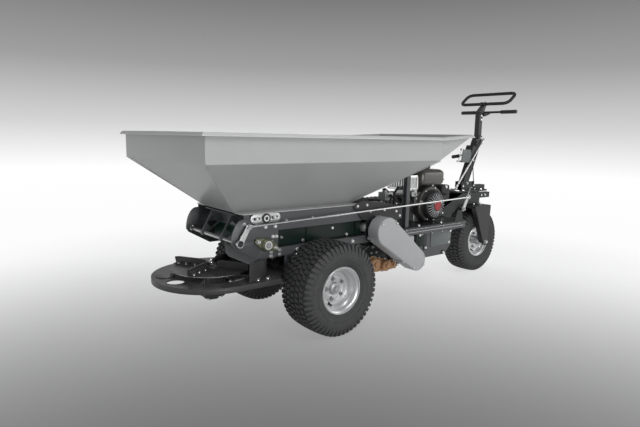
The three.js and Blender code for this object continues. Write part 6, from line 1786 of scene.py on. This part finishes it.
class TOPDRESSER_OT_tiller(bpy.types.Operator):
    """Finish the tiller base and column, and make the brace rod, the linkages and the shift lever"""

    bl_idname = "topdresser.tiller"
    bl_label = "Tiller"

    def execute(self, context):
        dress("tiller_base", "deep", 2.0)
        dress("tiller_column", "black", 2.2)
        self.brace()
        self.shift()
        self.pivots()
        self.panel()
        return {"FINISHED"}

    def brace(self):
        low, high = Vector((1381, -38, 616.3)), Vector((1676.5, -38, 958))
        step = (high - low).normalized()
        form = Form().drum(low + step * 30, high - step * 30, 5, sides=24)
        for place, way in ((low, step), (high, -step)):
            rod_end(form, place, way, 36, 0.01)
            form.bolt(place - Y * 5, -Y, 7)
        form.drum((low.x, -38, 601.8), (low.x, -38, 612), 5, sides=20)
        form.nut((low.x, -38, 601.8), Z, 8, 0.3)
        form.drum(high, high + Y * 12, 5, sides=20)
        form.done("tiller_brace_rod", "zinc", "brace_rod", "zinc", "steering", weld=False)

    def shift(self):
        pivot = Vector((1567.3, 35.3, 854.5))
        neck = pivot + Vector((-62, 0, -14))
        profile = [(0, -5), (15.4, -5), (16.4, -4), (16.4, 4), (15.4, 5), (0, 5)]
        form = Form().lathe(profile, pivot, Y, 40)
        run = [pivot, pivot + Vector((-30, 0, -6)), neck, neck + Vector((-20, 0, -2))]
        form.tube(smooth_path(run), 5, 20)
        form.done("shift_lever_arm", "steel_bright", "shift_lever", body="shifter", weld=False)
        way = Vector((-84, 0, -7)).normalized()
        profile = [(0, 0), (10, 0), (12.6, 3), (13, 12), (11.6, 30), (11.8, 52), (13, 66), (12.4, 74)]
        grip = Form().lathe(profile + [(9, 78.4), (0, 79.4)], neck + way * 5, way, 40)
        grip.done("shift_lever_knob", "plastic", slot="grip_plastic", body="shifter")

    def pivots(self):
        bolts = Form()
        for side in (-1, 1):
            bolts.nut((1516, side * 29.3, BASE_Z + 60), Y * side, 10, 0.3)
            bolts.nut((STEER_X, side * 25.2, 968), Y * side, 10, 0.3)
            for x in (1474, 1598):
                bolts.bolt((x, side * 29.3, BASE_Z + 40), Y * side, 8)
            for x in (1390, 1450, 1660):
                bolts.bolt((x, side * 52, BASE_Z + 12.2), Z, 9)
        bolts.done("tiller_bolts", "zinc", body="steering")

    def panel(self):
        """The shift panel on the column, and the rods and clamps beside it"""
        faces = (-33.2, -30.2)
        outline = rounded([(1428, 798), (1546, 796), (1540, 886), (1446, 888)], 8)
        panel = Form().plate([outline], "Y", *faces, 0.8)
        panel.done("shift_panel", "panel", body="steering")
        rods = Form().drum((1602, -33, BASE_Z + 12), (1566, -33, 812), 3, sides=16)
        for (x0, z0), (x1, z1) in (((1390, 800), (1432, 812)), ((1420, 882), (1450, 894))):
            rods.block((x0, faces[0], z0), (x1, faces[1], z1))
        rods.done("shift_rods", "black", body="steering", weld=False)
        ends = Form().drum((1393, -36, 806), (1427, -36, 888), 3, sides=16)
        for x, z in ((1566, 812), (1602, 606), (1427, 888), (1393, 806)):
            ends.drum((x, -42, z), (x, -26, z), 6, sides=16)
        ends.done("shift_rod_ends", "zinc", body="steering", weld=False)


# Handle


class TOPDRESSER_OT_handle(bpy.types.Operator):
    """Finish the stem, and make the loop handle and the drive bar with its grips"""

    bl_idname = "topdresser.handle"
    bl_label = "Handle"

    def execute(self, context):
        dress("handle_stem", "black", 2.0)
        self.loop()
        self.bar()
        return {"FINISHED"}

    def loop(self):
        low, high, half = (1700, 1212.3), (1800, 1288.3), 196
        corners = [(x, side * half, z) for (x, z), side in ((low, -1), (low, 1), (high, 1), (high, -1))]
        form = Form().tube(bent_path(corners, 46, 10, closed=True), 11, 24, closed=True)
        form.done("loop_handle_tube", "sleeve", "handle_loop", "grip_plastic", "handle", weld=False)
        clamp, rest = Form(), Form()
        for side in (-1, 1):
            profile = [(11, -7), (14, -7), (15, -6), (15, 6), (14, 7), (11, 7)]
            clamp.lathe(profile, (low[0], side * 14, low[1]), Y, 36)
            for z in (1128, 1100):
                rest.bolt((STEER_X, side * 18.2, z), Y * side, 8)
        clamp.done("loop_handle_clamps", "black", body="handle", weld=False)
        rest.done("stem_bolts", "zinc", body="handle")

    def bar(self):
        x, z, half = 1765, 1157, 118
        foot_x, foot_z = 1683, 1135
        form = Form().drum((x, -half, z), (x, half, z), 8, sides=28)
        grips = Form()
        for side in (-1, 1):
            y = side * 26.3
            run = [(foot_x, y, foot_z), (foot_x + 30, y, foot_z + 3), (x, y, z)]
            form.tube(bent_path(run, 16), 7.4, 20)
            form.drum((foot_x, y - 8, foot_z), (foot_x, y + 8, foot_z), 11, sides=28)
            profile = [(7.6, 106), (12.6, 106), (13, 107.4)]
            for rib in range(110, 220, 10):
                profile += [(13, rib), (12.1, rib + 1.2), (12.1, rib + 3.6), (13, rib + 4.8)]
            profile += [(13, 224), (12, 226), (0, 226), (0, 200), (7.6, 200)]
            grips.lathe(profile, (x, 0, z), Y * side, 36)
        form.done("drive_bar_rod", "black", "drive_bar", "grip_plastic", "clutch_bar", weld=False)
        grips.done("drive_bar_grips", "plastic", slot="grip_plastic", body="clutch_bar", weld=False)


# Stage, in metres

CAMERA = (-2.105, -2.181, 0.952)
CAMERA_FOOT = (CAMERA[0], CAMERA[1], 0)
# The camera's heading from +Y, its dip and its roll, in degrees
CAMERA_TURNS = (38.7, 8.6, 1.17)
PICTURE_WIDTH, SENSOR_WIDTH = 640, 36
# Heights of the view's direction, with the grey of the backdrop there
GREYS = (
    (-0.5, 0.22),
    (-0.4, 0.39),
    (-0.3, 0.72),
    (-0.22, 0.97),
    (-0.06, 1.0),
    (0.02, 0.66),
    (0.13, 0.35),
    (0.26, 0.185),
)
# Each lamp's name, place, aim, width and power
LAMPS = (
    ("key", (-0.9, -4.0, 4.4), (0.2, -0.1, 0.6), 3.0, 78),
    ("side", (3.8, -3.0, 2.0), (0.3, 0, 0.5), 2.6, 34),
    ("front", (-4.6, 1.2, 0.9), (-0.2, 0, 0.6), 1.8, 9.5),
    ("low", (-1.2, -4.6, 0.85), (-0.1, 0, 0.7), 1.6, 64),
    ("back", (1.8, 4.2, 3.4), (0, 0, 0.5), 3.0, 50),
)


class TOPDRESSER_OT_stage(bpy.types.Operator):
    """Make the camera, the studio floor with its backdrop, and the lamps"""

    bl_idname = "topdresser.stage"
    bl_label = "Studio"

    def execute(self, context):
        self.camera(context)
        self.backdrop()
        self.world(context)
        context.scene.view_settings.view_transform = "Standard"
        for lamp in LAMPS:
            self.lamp(*lamp)
        return {"FINISHED"}

    def camera(self, context):
        data = bpy.data.cameras.new("camera")
        data.sensor_fit = "HORIZONTAL"
        data.sensor_width = SENSOR_WIDTH
        data.lens = sizes().lens_pixels / PICTURE_WIDTH * SENSOR_WIDTH
        data.clip_end = 60
        made = stand("camera", data)
        context.scene.camera = made
        turn, dip, roll = (math.radians(a) for a in CAMERA_TURNS)
        ahead = Vector((math.sin(turn) * math.cos(dip), math.cos(turn) * math.cos(dip), -math.sin(dip)))
        right = ahead.cross(Z).normalized()
        up = right.cross(ahead)
        tilted_right = right * math.cos(roll) + up * math.sin(roll)
        tilted_up = up * math.cos(roll) - right * math.sin(roll)
        columns = Matrix((tilted_right, tilted_up, -ahead)).transposed()
        made.matrix_world = Matrix.Translation(CAMERA) @ columns.to_4x4()

    def backdrop(self):
        """A floor disc whose far part fades into the world behind it"""
        mesh = bmesh.new()
        bmesh.ops.create_circle(mesh, cap_ends=True, radius=14, segments=96)
        data = bpy.data.meshes.new("studio_floor")
        mesh.to_mesh(data)
        mesh.free()
        stand("studio_floor", data)
        shop = Shop("studio floor")
        place = shop.place()
        away = shop.node("ShaderNodeVectorMath", {"operation": "LENGTH"}, [place], out=1)
        seen = self.looks(shop)
        eye = shop.node("ShaderNodeVectorMath", {"operation": "DISTANCE"}, [place, CAMERA_FOOT], out=1)
        tone = shop.blend(eye.above(1.0, 4.4), (0.150, 0.150, 0.151, 1.0), (0.925, 0.925, 0.93, 1.0))
        base = shop.blend(seen, (0.62, 0.62, 0.62, 1.0), tone)
        shop.finish(Base_Color=base, Roughness=0.9, Specular_IOR_Level=0.1)
        # Part of the floor's own tone shows through its shadows, so they stay soft and pale
        glow = shop.node("ShaderNodeEmission", {}, [tone, 1.0])
        lit = self.mixed(shop, seen * 0.72, Wire(shop, shop.skin.outputs[0]), glow)
        ghost = shop.node("ShaderNodeBsdfTransparent")
        made = self.mixed(shop, away.above(1.5, 3.2) * seen, lit, ghost)
        shop.feed(shop.tree.nodes["Material Output"].inputs[0], made)
        data.materials.append(shop.material)

    def world(self, context):
        """Pale light from all round, and a grey backdrop for what shows it"""
        world = bpy.data.worlds.new("studio")
        context.scene.world = world
        world.use_nodes = True
        shop = Nodes(world.node_tree)
        plain = shop.tree.nodes["Background"]
        plain.inputs[0].default_value = (0.97, 0.985, 1.0, 1.0)
        plain.inputs[1].default_value = 0.46
        ray = shop.node("ShaderNodeTexCoord", out=0)
        rise = shop.node("ShaderNodeSeparateXYZ", {}, [ray], out=2)
        ramp = shop.node("ShaderNodeValToRGB", {}, [rise + 0.5])
        stops = ramp.socket.node.color_ramp.elements
        stops.remove(stops[1])
        stops[0].position, stops[0].color = 0, (*[GREYS[0][1]] * 3, 1.0)
        for height, grey in GREYS[1:]:
            stops.new(height + 0.5).color = (grey, grey, grey, 1.0)
        seen = shop.node("ShaderNodeBackground", {}, [ramp, 1.0])
        made = self.mixed(shop, self.looks(shop), Wire(shop, plain.outputs[0]), seen)
        shop.feed(shop.tree.nodes["World Output"].inputs[0], made)

    def looks(self, shop):
        """1 for rays that show the backdrop: the camera's, and those of metal and glass"""
        path = shop.tree.nodes.new("ShaderNodeLightPath")
        either = Wire(shop, path.outputs["Is Camera Ray"])
        for name in ("Is Glossy Ray", "Is Transmission Ray"):
            either = either.maths("MAXIMUM", either, Wire(shop, path.outputs[name]))
        return either

    def mixed(self, shop, share, one, other):
        mix = shop.node("ShaderNodeMixShader", {}, [share])
        for place, skin in ((1, one), (2, other)):
            shop.tree.links.new(skin.socket, mix.socket.node.inputs[place])
        return mix

    def lamp(self, name, place, aim, width, power):
        data = bpy.data.lights.new(name, "AREA")
        data.shape = "DISK"
        data.size = width
        data.energy = power
        way = Vector(aim) - Vector(place)
        turn = way.to_track_quat("-Z", "Y").to_matrix().to_4x4()
        stand(name, data).matrix_world = Matrix.Translation(place) @ turn


# Add-on

MAKERS = (TOPDRESSER_OT_stage, TOPDRESSER_OT_drive_wheels, TOPDRESSER_OT_steered_wheel,
    TOPDRESSER_OT_hopper, TOPDRESSER_OT_frame, TOPDRESSER_OT_conveyor, TOPDRESSER_OT_chain_cover,
    TOPDRESSER_OT_metering_gate, TOPDRESSER_OT_spreader, TOPDRESSER_OT_gearbox, TOPDRESSER_OT_platform,
    TOPDRESSER_OT_engine, TOPDRESSER_OT_fuel_tank, TOPDRESSER_OT_steering, TOPDRESSER_OT_tiller,
    TOPDRESSER_OT_handle)


class TOPDRESSER_PT_panel(bpy.types.Panel):
    """Lists the makers of the topdresser's pieces"""

    bl_idname = "TOPDRESSER_PT_panel"
    bl_label = "Topdresser"
    bl_space_type = "VIEW_3D"
    bl_region_type = "UI"
    bl_category = "Topdresser"

    def draw(self, context):
        for group in (context.scene.topdresser_sizes, context.scene.topdresser_colours):
            for name in group.bl_rna.properties.keys():
                if name not in ("rna_type", "name"):
                    self.layout.prop(group, name)
        for maker in MAKERS:
            self.layout.operator(maker.bl_idname)


CLASSES = (TopdresserSizes, TopdresserColours, *MAKERS, TOPDRESSER_PT_panel)


def register():
    for made in CLASSES:
        bpy.utils.register_class(made)
    bpy.types.Scene.topdresser_sizes = bpy.props.PointerProperty(type=TopdresserSizes)
    bpy.types.Scene.topdresser_colours = bpy.props.PointerProperty(type=TopdresserColours)


def unregister():
    del bpy.types.Scene.topdresser_colours
    del bpy.types.Scene.topdresser_sizes
    for made in reversed(CLASSES):
        bpy.utils.unregister_class(made)


def main():
    register()
    make_finishes()
    for maker in MAKERS:
        getattr(bpy.ops.topdresser, maker.bl_idname.split(".")[1])()


if __name__ == "__main__":
    main()
